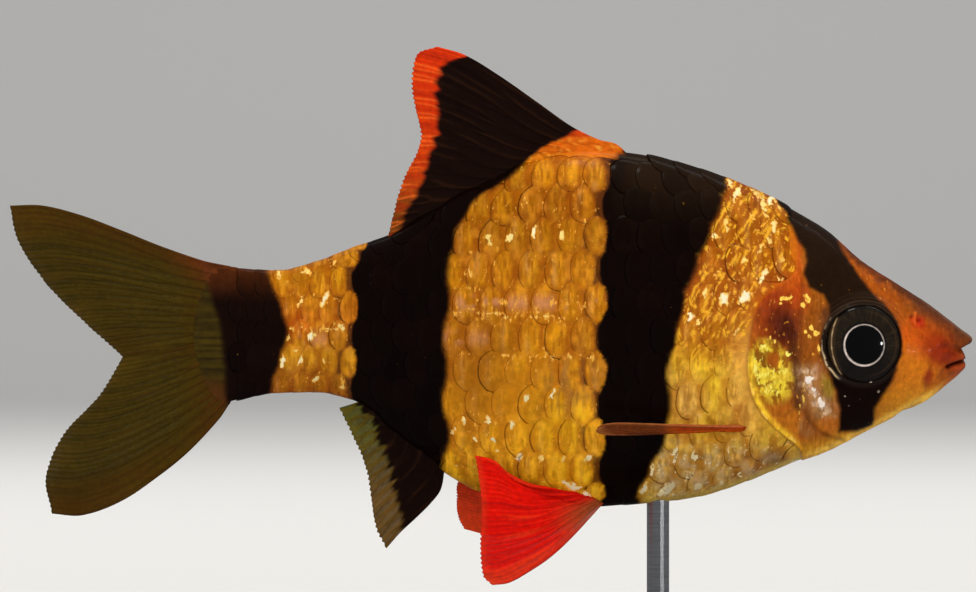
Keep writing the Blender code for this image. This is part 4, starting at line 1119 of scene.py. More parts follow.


# painted highlights: bright glints laid on the scales at these places
GLINTS = [
    # x, y, half length, half width, degrees from upright, strength
    (489, 240, 7, 3, -25, 0.75), (510, 237, 7, 3, 15, 0.85), (534, 233, 8, 2.6, 12, 0.95), (562, 235, 5, 3.6, 0, 0.8),
    (469, 272, 5, 4, -30, 0.6), (522, 168, 4, 2.6, 0, 0.7), (524, 202, 4, 3, -10, 0.55), (583, 183, 5, 2.2, 30, 0.6),
    (560, 222, 7, 2.6, 35, 0.35), (722, 299, 8, 5, 25, 1), (742, 297, 9, 4.6, 38, 1), (760, 276, 10, 3.4, 40, 0.9),
    (687, 317, 7, 3.4, 32, 1), (713, 237, 4, 2.6, 45, 0.9), (706, 251, 3, 2.4, 0, 0.8), (703, 294, 5, 2.6, 10, 0.8),
    (740, 262, 7, 2.2, 35, 0.7), (736, 247, 5, 2.4, -10, 0.5), (714, 273, 3, 2.2, 20, 0.6), (777, 279, 3, 3, 0, 0.8),
    (573, 487, 4, 5.5, 20, 1), (587, 494, 3, 5, 30, 0.95), (593, 502, 2.4, 4, 10, 0.9), (566, 483, 3, 4, 40, 0.8),
    (520, 456, 2.2, 3.4, 0, 0.8), (540, 457, 4, 2.2, 0, 0.55), (563, 457, 5, 1.8, 15, 0.55), (587, 455, 6, 1.8, 10, 0.7),
    (494, 439, 2.2, 2.6, 0, 0.85), (452, 431, 2.6, 2.2, 0, 0.9), (464, 419, 4, 1.8, 0, 0.7), (488, 420, 4, 1.6, 12, 0.7),
    (512, 424, 6, 1.6, 12, 0.7), (552, 392, 6, 1.8, 25, 0.8), (526, 398, 3, 2.4, 0, 0.7), (498, 450, 2.4, 3.6, 0, 0.65),
    (438, 414, 3.5, 1.8, 10, 0.6), (475, 439, 1.6, 1.6, 0, 0.7), (456, 466, 1.6, 2.2, 0, 0.7), (474, 466, 3, 1.4, 0, 0.6),
    (733, 281, 3, 2.4, 0, 0.6), (772, 227, 8, 3.6, -12, 0.85), (768, 241, 7, 2.4, -8, 0.7), (757, 250, 8, 2.6, 30, 0.7),
    (736, 194, 11, 2.4, 28, 0.9), (754, 192, 7, 2.2, -38, 0.7), (728, 183, 8, 2.4, -38, 0.9), (770, 199, 8, 2.6, 38, 0.95),
    (777, 204, 7, 2.2, -35, 0.7), (762, 206, 12, 3.6, -12, 0.75), (751, 217, 3, 2.4, -40, 0.6), (729, 213, 3, 2.4, 40, 0.7),
    (725, 222, 6, 2.4, 35, 0.65), (724, 229, 4, 2.6, 0, 0.7), (739, 203, 6, 2.2, -20, 0.5), (733, 331, 5, 2.4, 25, 0.7),
    (695, 322, 3, 2.6, 0, 0.8), (779, 259, 6, 2.4, 25, 0.6), (773, 264, 5, 2, 20, 0.55), (674, 454, 8, 2.2, 12, 0.9),
    (693, 456, 8, 2, 0, 0.85), (649, 470, 9, 2.6, 25, 1), (642, 488, 8, 3.4, 40, 1), (667, 488, 7, 4.2, 45, 1),
    (697, 486, 4, 4, 0, 0.9), (708, 464, 7, 1.4, 30, 0.75), (689, 474, 2.4, 3.2, 0, 0.75), (721, 482, 2.4, 3, -30, 0.7),
    (739, 474, 3, 3, -40, 0.75), (731, 439, 2, 5, 0, 0.65), (745, 437, 2, 5, 0, 0.65), (674, 495, 3, 4, 0, 0.6),
    (660, 493, 3, 6, 0, 0.8), (793, 460, 2, 5, 0, 0.6), (697, 413, 3, 1.8, 0, 0.7), (708, 402, 4, 1.4, 0, 0.6),
    (729, 404, 6, 1.8, -15, 0.65), (727, 392, 5, 2, 0, 0.55),
    (288, 337, 4.5, 3.2, 0, 1), (312, 337, 4.5, 3.6, 0, 1), (282, 362, 7, 3, 10, 1), (300, 360, 6, 3.2, 25, 0.95),
    (294, 352, 4, 1.8, 0, 0.8), (326, 299, 8, 2.8, 20, 0.95), (301, 300, 6, 2.2, 12, 0.75), (316, 379, 6, 2.2, 30, 0.9),
    (342, 326, 4, 3, 0, 0.85), (324, 361, 4, 2, 0, 0.7), (343, 385, 7, 2.2, 10, 0.65), (305, 272, 3.5, 6, 0, 0.7),
    (279, 275, 4, 4.5, 0, 0.7), (334, 262, 4, 5, 0, 0.6),
]


def flecks(x, y):
    """Painted glints on the scales: how closely bright highlight spots stand at each place."""
    out = np.full(np.shape(x), 0.30)
    wx, wy = x + 2.4 * noise(x / 3.1, y / 3.1, 0.0, 311), y + 2.4 * noise(x / 3.1, y / 3.1, 6.0, 312)
    for gx, gy, tall, wide, turn_deg, much in GLINTS:
        more = 1.3 if gy > 385 and gx < 610 else 1.0
        out = np.maximum(out, 0.30 + 0.56 * min(much * more, 1.1) * spot(wx, wy, gx, gy, wide * more ** 0.7, tall * more ** 0.5, 0.55, turn_deg))
    # painted highlight dashes along some of the rows and over the belly
    rows = np.maximum.reduce([
        0.8 * bell(y - 315 - 0.05 * (x - 500), 5) * smooth(448, 460, x) * smooth(600, 560, x),
        0.8 * bell(y - 303, 5) * smooth(452, 462, x) * smooth(600, 590, x),
        0.7 * bell(y - 357, 4) * smooth(525, 540, x) * smooth(600, 590, x),
        0.6 * bell(y - 288, 9) * smooth(448, 460, x) * smooth(500, 480, x),
        0.8 * bell(y - 329, 4) * smooth(284, 292, x) * smooth(350, 340, x),
        0.35 * bell(y - 478 + 0.30 * (x - 640), 22) * smooth(636, 650, x),
        0.9 * bell(y - 492, 9) * smooth(556, 570, x) * smooth(604, 596, x),
        0.10 * smooth(668, 690, x) * smooth(380, 350, y),
        0.55 * bell(y - 425, 12) * smooth(450, 462, x) * smooth(530, 510, x),
    ])
    long_grain = noise(x / 8.0, y / 1.5, 0.0, 317) + 0.3 * noise(x / 2.0, y / 1.3, 3.0, 318)
    flat = np.maximum(bell(y - 315, 9) * smooth(600, 560, x), bell(y - 357, 7)) * smooth(446, 460, x) * smooth(610, 600, x)
    flat = np.maximum(flat, bell(y - 329, 6) * smooth(284, 292, x) * smooth(350, 340, x))
    return np.maximum(out, 0.385 + 0.125 * rows + 0.22 * flat * np.clip(long_grain, 0, 1))


def paint_scales(places, verts, p, q, rnd):
    s, h = SNOUT_X - verts[..., 0], verts[..., 2] - AXIS_Z
    x, y = grid_of(s, h)
    rag = 0.08 * noise(x / 4.5, y / 6.0, 0.0, 301) + 0.05 * noise(x / 1.8, y / 2.6, 0.0, 302)
    near_gold, near_dark, which = nearest_cells(x, y)
    near_gold, near_dark = near_gold + rag, near_dark - rag
    own = CELL_RND[which]
    depth = band_depth(x, y)
    lean = np.where(np.maximum(near_gold, near_dark) > 3.0, 0.0, np.clip(near_gold - near_dark, -0.9, 0.9))
    # the rear limit of the golden fields is soft, the front one follows the scales
    rear = smooth(-1.5, 1.5, band_depth(x - 5, y) - band_depth(x + 5, y))
    blur = 2.2 + 3.4 * rear
    dark = smooth(-1.0, 1.0, (depth + (8.5 - 4.0 * rear) * lean * (1 - 0.75 * smooth(755, 775, x))) / blur)
    gap = smooth(0.92, 1.18, near_gold) * smooth(-24, -9, depth) * (1 - rear) * smooth(760, 740, x)
    body = smooth(1.25, 0.55, near_gold)
    chest = smooth(432, 458, y + 0.06 * (700 - x)) * smooth(640, 665, x)
    pale = np.maximum.reduce([chest, spot(x, y, 742, 385, 20, 58, 0.6), 0.9 * spot(x, y, 684, 400, 18, 26, 0.6)])
    gold = gold_tone(x, y) * (np.array([0.85, 0.92, 0.40]) + np.array([0.12, 0.02, 0.30]) * pale[..., None])
    light = gold * (1.15 + 0.20 * own[..., 2:3]) + np.array([0.016, 0.013, 0.002]) * (1 + own[..., 3:4])
    net = gold * np.array([0.60, 0.41, 0.18])
    c = lay(net, light, body * 0.92)
    # a painted sheen, paler, on the rear part of each scale, painted shade on its front side, and fine streaks up and
    # down
    dx = (x - CELL_X[which]) / CELL_RX[which]
    hue = noise(x / 26, y / 22, 0.0, 303)
    # painted sheen: paler on the rear part of each scale
    c = lay(c, tone(206, 146, 84), 0.50 * bell(dx + 0.45 + 0.3 * own[..., 4], 0.32) * body * smooth(-0.4, 0.9, hue + 0.7 * own[..., 5]))
    c = lay(c, gold * np.array([0.54, 0.38, 0.25]), 0.72 * smooth(0.0, 0.6, noise(x / 1.9, y / 11.0, 0.0, 305)))
    c = lay(c, gold * np.array([0.62, 0.45, 0.28]), 0.50 * smooth(0.0, 0.6, noise(x / 5.0, y / 20.0, 4.0, 307)))
    # painted shade along the front side of each scale
    c = lay(c, gold * np.array([0.52, 0.34, 0.20]), 0.70 * bell(dx - 0.92 - 0.15 * own[..., 1], 0.26) * smooth(-1.0, 0.1, own[..., 0] + hue) * (1 - 0.7 * smooth(640, 680, x)))
    c = lay(c, gold * 1.60 + 0.01, 0.60 * smooth(0.2, 0.8, noise(x / 1.6, y / 8.0, 2.0, 306)) * body)
    c = lay(c, gold * np.array([0.72, 0.58, 0.5]), 0.55 * smooth(0.0, 0.8, cloud(x / 26, y / 20, 1.0, 309)))
    blotch = cloud(x / 7.0, y / 13.0, 2.0, 320)
    c = lay(c, gold * np.array([0.78, 0.62, 0.40]), 0.55 * smooth(0.1, 0.6, blotch))
    c = lay(c, gold * 1.35 + 0.012, 0.46 * smooth(-0.1, -0.6, blotch))
    c = lay(c, gold, 0.6 * smooth(15, 4, behind_gill(x, y)))
    # rosy places along some of the rows, a painted sheen, and greyish places
    rosy_sheen = np.maximum(bell(y - 303, 7) * smooth(444, 456, x), 0.8 * bell(y - 339, 7) * smooth(500, 480, x)) * smooth(610, 600, x)
    c = lay(c, tone(206, 138, 96), 0.62 * rosy_sheen * smooth(1.15, 0.75, near_gold) * smooth(-0.5, 0.3, own[..., 2] + noise(x / 5, y / 7, 0.0, 321)))
    even = spot(x, y, 492, 388, 52, 42, 0.7)
    c = lay(c, gold * np.array([0.86, 0.80, 0.6]), 0.60 * even)
    dusk = spot(x, y, 572, 385, 34, 26, 0.7) * smooth(-0.3, 0.4, noise(x / 3.2, y / 12.0, 0.0, 322))
    c = lay(c, tone(134, 92, 46), 0.45 * dusk)
    # painted glints: slanting bright dashes over the shoulder, darker between them
    across, down = 0.87 * x + 0.5 * y, 0.5 * x - 0.87 * y
    glint_dash = noise(across / 1.7, down / 8.0, 0.0, 323) + 0.4 * noise(across / 0.9, down / 5.0, 3.0, 324)
    shoulder = smooth(655, 680, x) * smooth(385, 340, y)
    c = lay(c, tone(252, 186, 44), 0.75 * shoulder * smooth(0.28, 0.66, glint_dash))
    c = lay(c, gold * np.array([0.74, 0.54, 0.4]), 0.45 * shoulder * smooth(0.0, -0.5, glint_dash))
    c = lay(c, tone(96, 74, 58), 0.60 * spot(x, y, 772, 458, 12, 8, 0.8))
    c = lay(c, tone(206, 176, 136), 0.45 * chest * body * smooth(-0.4, 0.4, noise(x / 6, y / 5, 0.0, 310)))
    # painted light from below: a pale rim along the lower edge of the belly
    low = ((330.0 - y) * 0.067 - belly(np.clip(s, 0, 50))) / 0.067
    c = lay(c, tone(232, 198, 78), 0.70 * smooth(9, 3, low) * smooth(636, 650, x))
    # painted glints: how closely they stand, none on the dark bands, and their colour, whitest where closest and on the
    # chest
    glint_share = flecks(x, y)
    glint_share = 0.28 + (glint_share - 0.28) * (1 - dark)
    white = np.maximum(smooth(0.55, 0.74, glint_share), chest)
    gleam = lay(np.broadcast_to(tone(246, 176, 66), (*x.shape, 3)), tone(255, 226, 132), white)
    gleam = lay(gleam, tone(255, 244, 206), np.maximum(smooth(0.74, 0.86, glint_share), 0.7 * chest))
    tones = band_tone(x, y)
    tones = tones * (1 + 0.25 * rnd[:, 7][:, None, None]) + 0.0008 * smooth(0.5, 0.9, p)[..., None]
    c = lay(c, tone(58, 24, 6), 0.80 * gap)
    c = lay(c, tones, dark)
    metal = (0.18 * body + 0.10) * (1 - dark) + 0.10 * chest * (1 - dark) + 0.70 * dark
    rough = 0.42 + 0.08 * dark - 0.06 * body * (1 - dark)
    return np.clip(c, 0, 1), np.clip(metal, 0, 1), rough, glint_share, gleam


def scale_piece(name, places, side, seed, skin):
    verts, p, q, rnd = shape_scales(places, side, seed)
    tint, metal, rough, glint_share, gleam = paint_scales(places, verts, p, q, rnd)
    n, m = len(places), len(T_P)
    offs = (np.arange(n) * m)[:, None, None]
    quads = (T_QUADS[None] + offs).reshape(-1, 4)
    tris = (T_TRIS[None] + offs).reshape(-1, 3)
    # every scale has a patch of its own at its place along and round the body
    num = np.array([pl[0] for pl in places])
    row = np.array([pl[1] for pl in places], float)
    cols = (num - num.min() + 0.5) / (num.max() - num.min() + 1.0)
    rows = (row - SIDE_ROWS[0] + 0.5) / (SIDE_ROWS[-1] - SIDE_ROWS[0] + 1.0)
    cw, rh = 1.0 / (num.max() - num.min() + 1.0), 1.0 / (SIDE_ROWS[-1] - SIDE_ROWS[0] + 1.0)
    pu = (T_P + FORE) / (FORE + REAR)
    qv = (T_Q / TALL + 1) / 2
    u = cols[:, None] + cw * (-0.44 + np.where(T_UNDER, 0.74 + 0.10 * pu, 0.66 * pu))[None, :]
    v = rows[:, None] + rh * (-0.42 + np.where(T_UNDER, 0.3 * qv, 0.84 * qv))[None, :]
    uv = np.stack([u, v], -1).reshape(-1, 2)
    ob = build(name, verts.reshape(-1, 3), quads, tris, tint.reshape(-1, 3), metal.ravel(), rough.ravel(), skin=skin, uv=uv,
               glint_share=glint_share.ravel(), gleam=gleam.reshape(-1, 3))
    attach(ob, "root")
    return ob


SCALE_SKIN = painted("scale_surface", grain=2600, grain_share=0.14, bump=0.30, bump_scale=3400, bump_reach=0.015,
                     coat=0.14, coat_rough=0.16, specular=0.14, gleam=(4300, 0.5))
for side, label in ((1, "left"), (-1, "right")):
    scale_piece(f"scales_{label}_front", [p for p in PLACES if p[2] < 26.0], side, 500 + side, SCALE_SKIN)
    scale_piece(f"scales_{label}_rear", [p for p in PLACES if p[2] >= 26.0], side, 510 + side, SCALE_SKIN)
print("scales a side:", len(PLACES))


# ---------------------------------------------------------------- eyes
def eye(name, side, skin):
    """An eyeball: bulging front with pupil, silver ring and iris, and a rounder back."""
    front_n, back_n, m = 110, 22, 168
    phi = np.concatenate([np.linspace(0, math.pi / 2, front_n + 1)[1:], math.pi / 2 + np.linspace(0, math.pi / 2, back_n + 1)[1:-1]])
    th = np.arange(m) * 2 * math.pi / m
    r = EYE_RADIUS * np.sin(phi)[:, None] * np.ones(m)[None, :]
    u, v = r * np.cos(th), r * np.sin(th)
    w = np.where(phi <= math.pi / 2, EYE_BULGE, EYE_DEPTH)[:, None] * np.cos(phi)[:, None] * np.ones(m)[None, :]
    pu, pv = u + 0.11, v + 0.06
    rp = np.hypot(pu, pv)
    front = (phi <= math.pi / 2)[:, None]
    w = w + np.where(front, 0.0 * rp, 0.0)
    lean = math.atan(EYE_TILT)
    e1 = np.array([math.cos(lean), -side * math.sin(lean), 0.0])
    out = np.array([math.sin(lean), side * math.cos(lean), 0.0])
    centre = np.array([SNOUT_X - EYE_S, side * EYE_Y, AXIS_Z + EYE_H])
    up = np.array([0.0, 0.0, 1.0])
    p = centre + u[..., None] * e1 + v[..., None] * up + w[..., None] * out
    ang = np.arctan2(pv, pu)
    c = np.broadcast_to(tone(27, 19, 10), (*rp.shape, 3)).copy()
    streak = noise(np.cos(ang) * 26, np.sin(ang) * 26, rp * 1.3, 81)
    fine = noise(np.cos(ang) * 55, np.sin(ang) * 55, rp * 2.5, 82)
    c = lay(c, tone(58, 48, 30), 0.22 * smooth(0.0, 0.7, streak) + 0.10 * smooth(0.1, 0.8, fine))
    c = lay(c, tone(14, 9, 6), 0.65 * smooth(0.0, -0.7, streak))
    c = lay(c, tone(12, 7, 6), 0.75 * smooth(0.25, -0.9, np.sin(ang)))
    c = lay(c, tone(64, 42, 20), 0.4 * bell(np.hypot(u, v) - 2.16, 0.07) * smooth(-0.2, 0.8, np.cos(ang)))
    c = lay(c, tone(8, 5, 4), 0.9 * smooth(1.62, 1.50, rp))
    limb = np.hypot(u, v)
    arc = np.abs(np.hypot(u * 1.0 - 1.112, v - 0.08) - 3.39)
    behind = smooth(-0.4, -1.2, u)
    c = lay(c, tone(5, 4, 4), 0.9 * smooth(2.30, 2.55, limb))
    broken = 0.55 + 0.45 * smooth(-0.5, 0.3, noise(v * 4.5, 0.0, 0.0, 85))
    c = lay(c, tone(200, 166, 122), 0.85 * bell(arc, 0.040) * behind * smooth(2.05, 1.65, np.abs(v + 0.15)) * broken)
    c = lay(c, tone(70, 50, 26), 0.35 * bell(arc - 0.13, 0.08) * behind * smooth(2.0, 1.5, np.abs(v)))
    beads = 0.78 + 0.22 * noise(np.cos(ang) * 9, np.sin(ang) * 9, 3.0, 84)
    wide = 0.043 + 0.017 * np.sin(ang + 3.6) + 0.008 * noise(np.cos(ang) * 5, np.sin(ang) * 5, 8.0, 86)
    ring = smooth(wide + 0.035, wide - 0.03, np.abs(rp - 1.36))
    # painted highlight: the silver ring is drawn brighter towards the lower rear and at the top
    ring_shine = 0.62 + 0.38 * smooth(-0.6, 0.8, np.cos(ang - math.radians(215))) + 0.2 * bell(np.sin((ang - math.radians(95)) / 2), 0.3)
    c = lay(c, tone(226, 210, 200), np.clip(ring * beads * ring_shine, 0, 1))
    c = lay(c, tone(3, 2, 3), smooth(1.29, 1.25, rp))
    metal = 0.10 * ring + 0.1 * bell(arc, 0.06) * behind + 0.7 * smooth(1.30, 1.26, rp)
    rough = 0.16 + 0.14 * ring
    c = np.where(front[..., None], c, tone(10, 7, 6))
    metal = np.where(front, metal, 0.0)
    n = len(phi)
    idx = np.arange(n * m).reshape(n, m)
    nx = np.roll(idx, -1, axis=1)
    quads = np.stack([idx[:-1], nx[:-1], nx[1:], idx[1:]], -1).reshape(-1, 4)
    tip, root = n * m, n * m + 1
    tris = np.concatenate([
        np.stack([nx[0], idx[0], np.full(m, tip)], -1),
        np.stack([idx[-1], nx[-1], np.full(m, root)], -1),
    ])
    verts = np.concatenate([
        p.reshape(-1, 3), (centre + out * (EYE_BULGE + 0.05))[None], (centre - out * EYE_DEPTH)[None]
    ])
    tint = np.concatenate([c.reshape(-1, 3), tone(3, 2, 3)[None], tone(10, 7, 6)[None]])
    ob = build(name, verts, quads, tris, tint, np.append(metal.ravel(), [0, 0]), np.append(rough.ravel(), [0.16, 0.2]), skin=skin)
    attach(ob, "root")
    return ob


EYE_SKIN = painted("eye_surface", grain=5200, grain_share=0.10, bump=0.03, bump_scale=2500, bump_reach=0.01,
                   coat=0.6, coat_rough=0.025, specular=0.06)
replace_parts(eye("eyeball_left", 1, EYE_SKIN), "eye_left")
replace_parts(eye("eyeball_right", -1, EYE_SKIN), "eye_right")


# ---------------------------------------------------------------- fins
def coons(base, margin, lead, trail, u, v):
    """Sheet between a root, an outer margin, a front ray and a last ray."""
    b, m = through(base, u)[:, None, :], through(margin, u)[:, None, :]
    f, t = through(lead, v)[None, :, :], through(trail, v)[None, :, :]
    uu, vv = u[:, None, None], v[None, :, None]
    return (
        (1 - vv) * b + vv * m + (1 - uu) * f + uu * t
        - (1 - uu) * (1 - vv) * b[:1] - uu * (1 - vv) * b[-1:]
        - (1 - uu) * vv * m[:1] - uu * vv * m[-1:]
    )


def ray_profile(u, v, rays, splits, widths=(0.17, 0.10, 0.060)):
    """1 on the middle of a fin ray and 0 on the membrane.  Rays fork twice towards the margin."""
    q = u * rays
    k = np.round(q)
    best = np.zeros(np.broadcast(u, v).shape)
    first = 0.25 * smooth(splits[0], splits[0] + 0.22, v)
    second = 0.125 * smooth(splits[1], splits[1] + 0.22, v)
    width = widths[0] + (widths[1] - widths[0]) * smooth(splits[0], splits[0] + 0.1, v)
    width = width + (widths[2] - widths[1]) * smooth(splits[1], splits[1] + 0.1, v)
    for shift in (-1, 0, 1):
        for s1 in (-1, 1):
            for s2 in (-1, 1):
                best = np.maximum(best, bell(q - (k + shift) - s1 * first - s2 * second, width))
    return best


def fin(name, stands_for, slot, skin, base, margin, lead, trail, lateral, paint, rays, cells=16, along_n=64,
        thick=(0.20, 0.09), ridge=(0.16, 0.05), root_thick=0.5, splits=(0.34, 0.66), scallop=0.10,
        wave=0.03, seed=1, calm=None):
    """A thin rayed fin, its two faces ridged by the rays, and its margin notched between them."""
    u, v = np.linspace(0, 1, rays * cells + 1), np.linspace(0, 1, along_n + 1) ** 0.92
    grid = coons(base, margin, lead, trail, u, v)
    uu, vv = np.meshgrid(u, v, indexing="ij")
    ray = ray_profile(uu, vv, rays, splits)
    if calm is not None:
        ray = ray * (1 - calm(*grid_of(grid[..., 0], grid[..., 1])))
    rough_edge = 0.6 + 0.4 * noise(uu[:, -1] * rays * 1.7, 0.0, 0.0, seed)
    ends = smooth(0.0, 0.05, uu[:, -1]) * smooth(1.0, 0.95, uu[:, -1])
    notch = scallop * rough_edge * (1 - ray[:, -1]) * (0.3 + 0.7 * ends)
    step = grid[:, -1] - grid[:, -4]
    step /= np.maximum(np.linalg.norm(step, axis=1), 1e-6)[:, None]
    fade = smooth(0.90, 1.0, v)[None, :, None]
    grid = grid - fade * (step * notch[:, None])[:, None, :]
    s, h = grid[..., 0], grid[..., 1]
    y = lateral(s, h, uu, vv)
    y = y + wave * vv ** 1.5 * np.sin(uu * rays * 2 * math.pi) + 0.05 * vv * noise(uu * rays * 0.6, vv * 2.0, 0.5, seed + 3)
    mid = np.stack([SNOUT_X - s, y, AXIS_Z + h], -1)
    n = np.cross(np.gradient(mid, axis=0), np.gradient(mid, axis=1))
    n /= np.maximum(np.linalg.norm(n, axis=-1), 1e-9)[..., None]
    t = thick[0] + (thick[1] - thick[0]) * vv
    t = t + (root_thick - thick[0]) * np.sqrt(np.clip(4 * uu * (1 - uu), 0, 1)) * (1 - vv) ** 4
    joints = 1 - 0.18 * (0.5 + 0.5 * np.sin(vv * along_n * 1.5)) * smooth(0.2, 0.5, vv)
    t = t + (ridge[0] + (ridge[1] - ridge[0]) * vv) * ray * joints
    edge_u = smooth(0.0, 0.012, uu) * smooth(1.0, 0.988, uu)
    t = t * (0.35 + 0.65 * edge_u * smooth(1.0, 0.975, vv))
    x_grid, y_grid = grid_of(s, h)
    tint, metal, rough, cover = paint(x_grid, y_grid, uu, vv, ray)
    verts, quads = [], []
    nu, nv = len(u), len(v)
    for sign in (1, -1):
        verts.append((mid + sign * n * t[..., None] / 2).reshape(-1, 3))
    top = np.arange(nu * nv).reshape(nu, nv)
    low_i = top + nu * nv
    quads.append(np.stack([top[:-1, :-1], top[1:, :-1], top[1:, 1:], top[:-1, 1:]], -1).reshape(-1, 4))
    quads.append(np.stack([low_i[:-1, :-1], low_i[:-1, 1:], low_i[1:, 1:], low_i[1:, :-1]], -1).reshape(-1, 4))
    ring_i = np.concatenate([top[:, 0], top[-1, 1:], top[-2::-1, -1], top[0, -2:0:-1]])
    ring_j = np.roll(ring_i, -1)
    quads.append(np.stack([ring_i, ring_i + nu * nv, ring_j + nu * nv, ring_j], -1))
    doubled = [np.concatenate([np.broadcast_to(a, (nu, nv) + a.shape[2:]).reshape(nu * nv, -1)] * 2) for a in
               (tint, np.broadcast_to(metal, (nu, nv)), np.broadcast_to(rough, (nu, nv)), np.broadcast_to(cover, (nu, nv)))]
    ob = build(name, np.concatenate(verts), np.concatenate(quads), None, np.clip(doubled[0], 0, 1),
               doubled[1].ravel(), doubled[2].ravel(), doubled[3].ravel(), skin=skin)
    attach(ob, "root")
    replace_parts(ob, *stands_for)
    return ob


def on_midline(s, h, u, v):
    return swing(s) + 0.25 * v * v * np.sin(5.0 * u)


def tail_line(s, h, u, v):
    return swing(s) + 0.35 * v * v * np.sin(0.38 * h + 0.6)


FIN_SKIN = painted("fin_membrane", grain=3200, grain_share=0.16, bump=0.25, bump_scale=5200, bump_reach=0.02,
                   coat=0.03, coat_rough=0.25, specular=0.08, cover=True)
FIN_SOLID = painted("fin_opaque", grain=3200, grain_share=0.16, bump=0.25, bump_scale=5200, bump_reach=0.02,
                    coat=0.03, coat_rough=0.25, specular=0.08)

RED_INNER = [(40, 478), (55, 467), (57, 461), (62, 447), (70, 441), (95, 435), (125, 437), (150, 432), (170, 425),
             (195, 415), (228, 400), (245, 396)]


def dorsal_sheath(x, y):
    """The scaly foot of the back fin, in front."""
    return smooth(556, 572, x) * smooth(120, 127, y)


def paint_dorsal(x, y, u, v, ray):
    lines = noise(u * 60, v * 2.0, 0.0, 101)
    c = np.broadcast_to(tone(18, 6, 3), (*x.shape, 3)).copy()
    c = lay(c, tone(50, 26, 10), 0.36 * ray * smooth(-0.2, 0.6, lines) * smooth(0.05, 0.3, v))
    inner = edge_at(RED_INNER, y) + 2.6 * noise(u * 30, 0.0, 0.0, 103) + 1.2 * noise(u * 80, 0.0, 5.0, 104)
    red = smooth(3.6, -3.6, x - inner)
    hot = np.stack([np.interp(y, [40, 90, 150, 185, 205, 240],
                              [c2[i] for c2 in map(lambda t: tone(*t), (
                                  (205, 48, 4), (190, 44, 4), (184, 50, 4), (168, 60, 8), (112, 54, 7), (84, 44, 7)))])
                    for i in range(3)], -1)
    hot = lay(hot, tone(236, 104, 34), 0.55 * ray * smooth(-0.1, 0.6, lines))
    hot = lay(hot, tone(150, 26, 6), 0.45 * smooth(0.0, -0.6, lines))
    c = lay(c, hot, red)
    flank, _ = dark_bands(x, y, 3.0)
    gold = (1 - flank) * smooth(455, 470, x) * smooth(122, 128, y) * smooth(0.62, 0.5, v)
    near = gold_tone(x, y)
    near = lay(near, tone(206, 96, 10), 0.7 * smooth(158, 140, y))
    near = lay(near, tone(196, 50, 8), smooth(141, 131, y) * smooth(604, 588, x))
    cell = np.hypot((np.mod(x / 13.0 + 0.5 * np.floor(y / 8.0), 1.0) - 0.5) * 2.0, (np.mod(y / 8.0, 1.0) - 0.5) * 2.0)
    near = lay(near, near * np.array([0.62, 0.42, 0.3]), 0.6 * smooth(0.75, 1.15, cell + 0.25 * noise(x / 3, y / 3, 0.0, 105)))
    near = lay(near, tone(246, 176, 60), 0.5 * smooth(0.35, 0.75, noise(x / 2.2, y / 3.0, 0.0, 106)))
    c = lay(c, near, gold)
    metal = 0.2 * gold
    rough = 0.48 - 0.08 * gold
    return c, metal, rough, 1.0


BACK_ROOT = [(s, float(back(s)) - 0.75) for s in (22.6, 27.0, 31.5, 36.3)]
fin(
    "fin_dorsal", ["dorsal_fin"], "black_fin", FIN_SOLID,
    base=BACK_ROOT,
    margin=[px(437, 46.5), px(417, 54), px(411, 86), px(420, 140), px(401, 184), px(387, 240)],
    lead=[BACK_ROOT[0], px(617, 144.5), px(599, 139.5), px(572, 126.5), px(540, 104), px(500, 76), px(465, 55), px(437, 46.5)],
    trail=[BACK_ROOT[-1], px(408, 230), px(387, 240)],
    lateral=on_midline, paint=paint_dorsal, rays=11, cells=20, along_n=84, root_thick=0.75, thick=(0.28, 0.10),
    splits=(0.42, 0.74), scallop=0.15, seed=201, calm=dorsal_sheath,
)

ANAL_EDGE = [(395, 352), (405, 359), (413, 366), (420, 374), (435, 377), (447, 382), (458, 386), (470, 390),
             (480, 393), (500, 396), (512, 400), (532, 400), (552, 402)]


def paint_anal(x, y, u, v, ray):
    saw = 2.2 * (np.abs((u * 24) % 1 - 0.5) - 0.25) * 2
    dark = smooth(-3.5, 3.5, x - edge_at(ANAL_EDGE, y) - saw - 4.5 * noise(u * 40, 0, 0, 111))
    c = np.broadcast_to(tone(76, 74, 10), (*x.shape, 3)).copy()
    c = lay(c, tone(98, 62, 22), 0.70 * smooth(420, 500, y))
    c = lay(c, tone(92, 62, 16), 0.45 * ray)
    c = lay(c, tone(62, 44, 10), 0.40 * smooth(0.0, 0.6, noise(u * 46, v * 2.0, 0, 112)))
    black = lay(np.broadcast_to(tone(18, 6, 3), (*x.shape, 3)).copy(), tone(52, 24, 10),
                0.4 * ray * smooth(-0.2, 0.6, noise(u * 50, v * 2, 0, 113)))
    c = lay(c, black, dark)
    cover = 0.84 + 0.12 * ray + (1 - 0.84 - 0.12 * ray) * dark
    return c, 0.0, 0.45, np.clip(cover + smooth(0.35, 0.1, v), 0, 1)


VENT_ROOT = [(s, float(belly(s)) + 0.7) for s in (35.3, 38.0, 40.6)]
fin(
    "fin_anal", ["anal_fin"], "black_fin", FIN_SKIN,
    base=VENT_ROOT,
    margin=[px(386, 549), px(376, 530), px(371, 500), px(364, 464), px(351, 434), px(339, 408)],
    lead=[VENT_ROOT[0], px(441, 489), px(431, 503), px(416, 518), px(400, 533), px(386, 549)],
    trail=[VENT_ROOT[-1], px(352, 404), px(339, 408)],
    lateral=on_midline, paint=paint_anal, rays=7, cells=20, along_n=64, root_thick=0.7, thick=(0.26, 0.09),
    splits=(0.40, 0.72), scallop=0.16, seed=211,
)


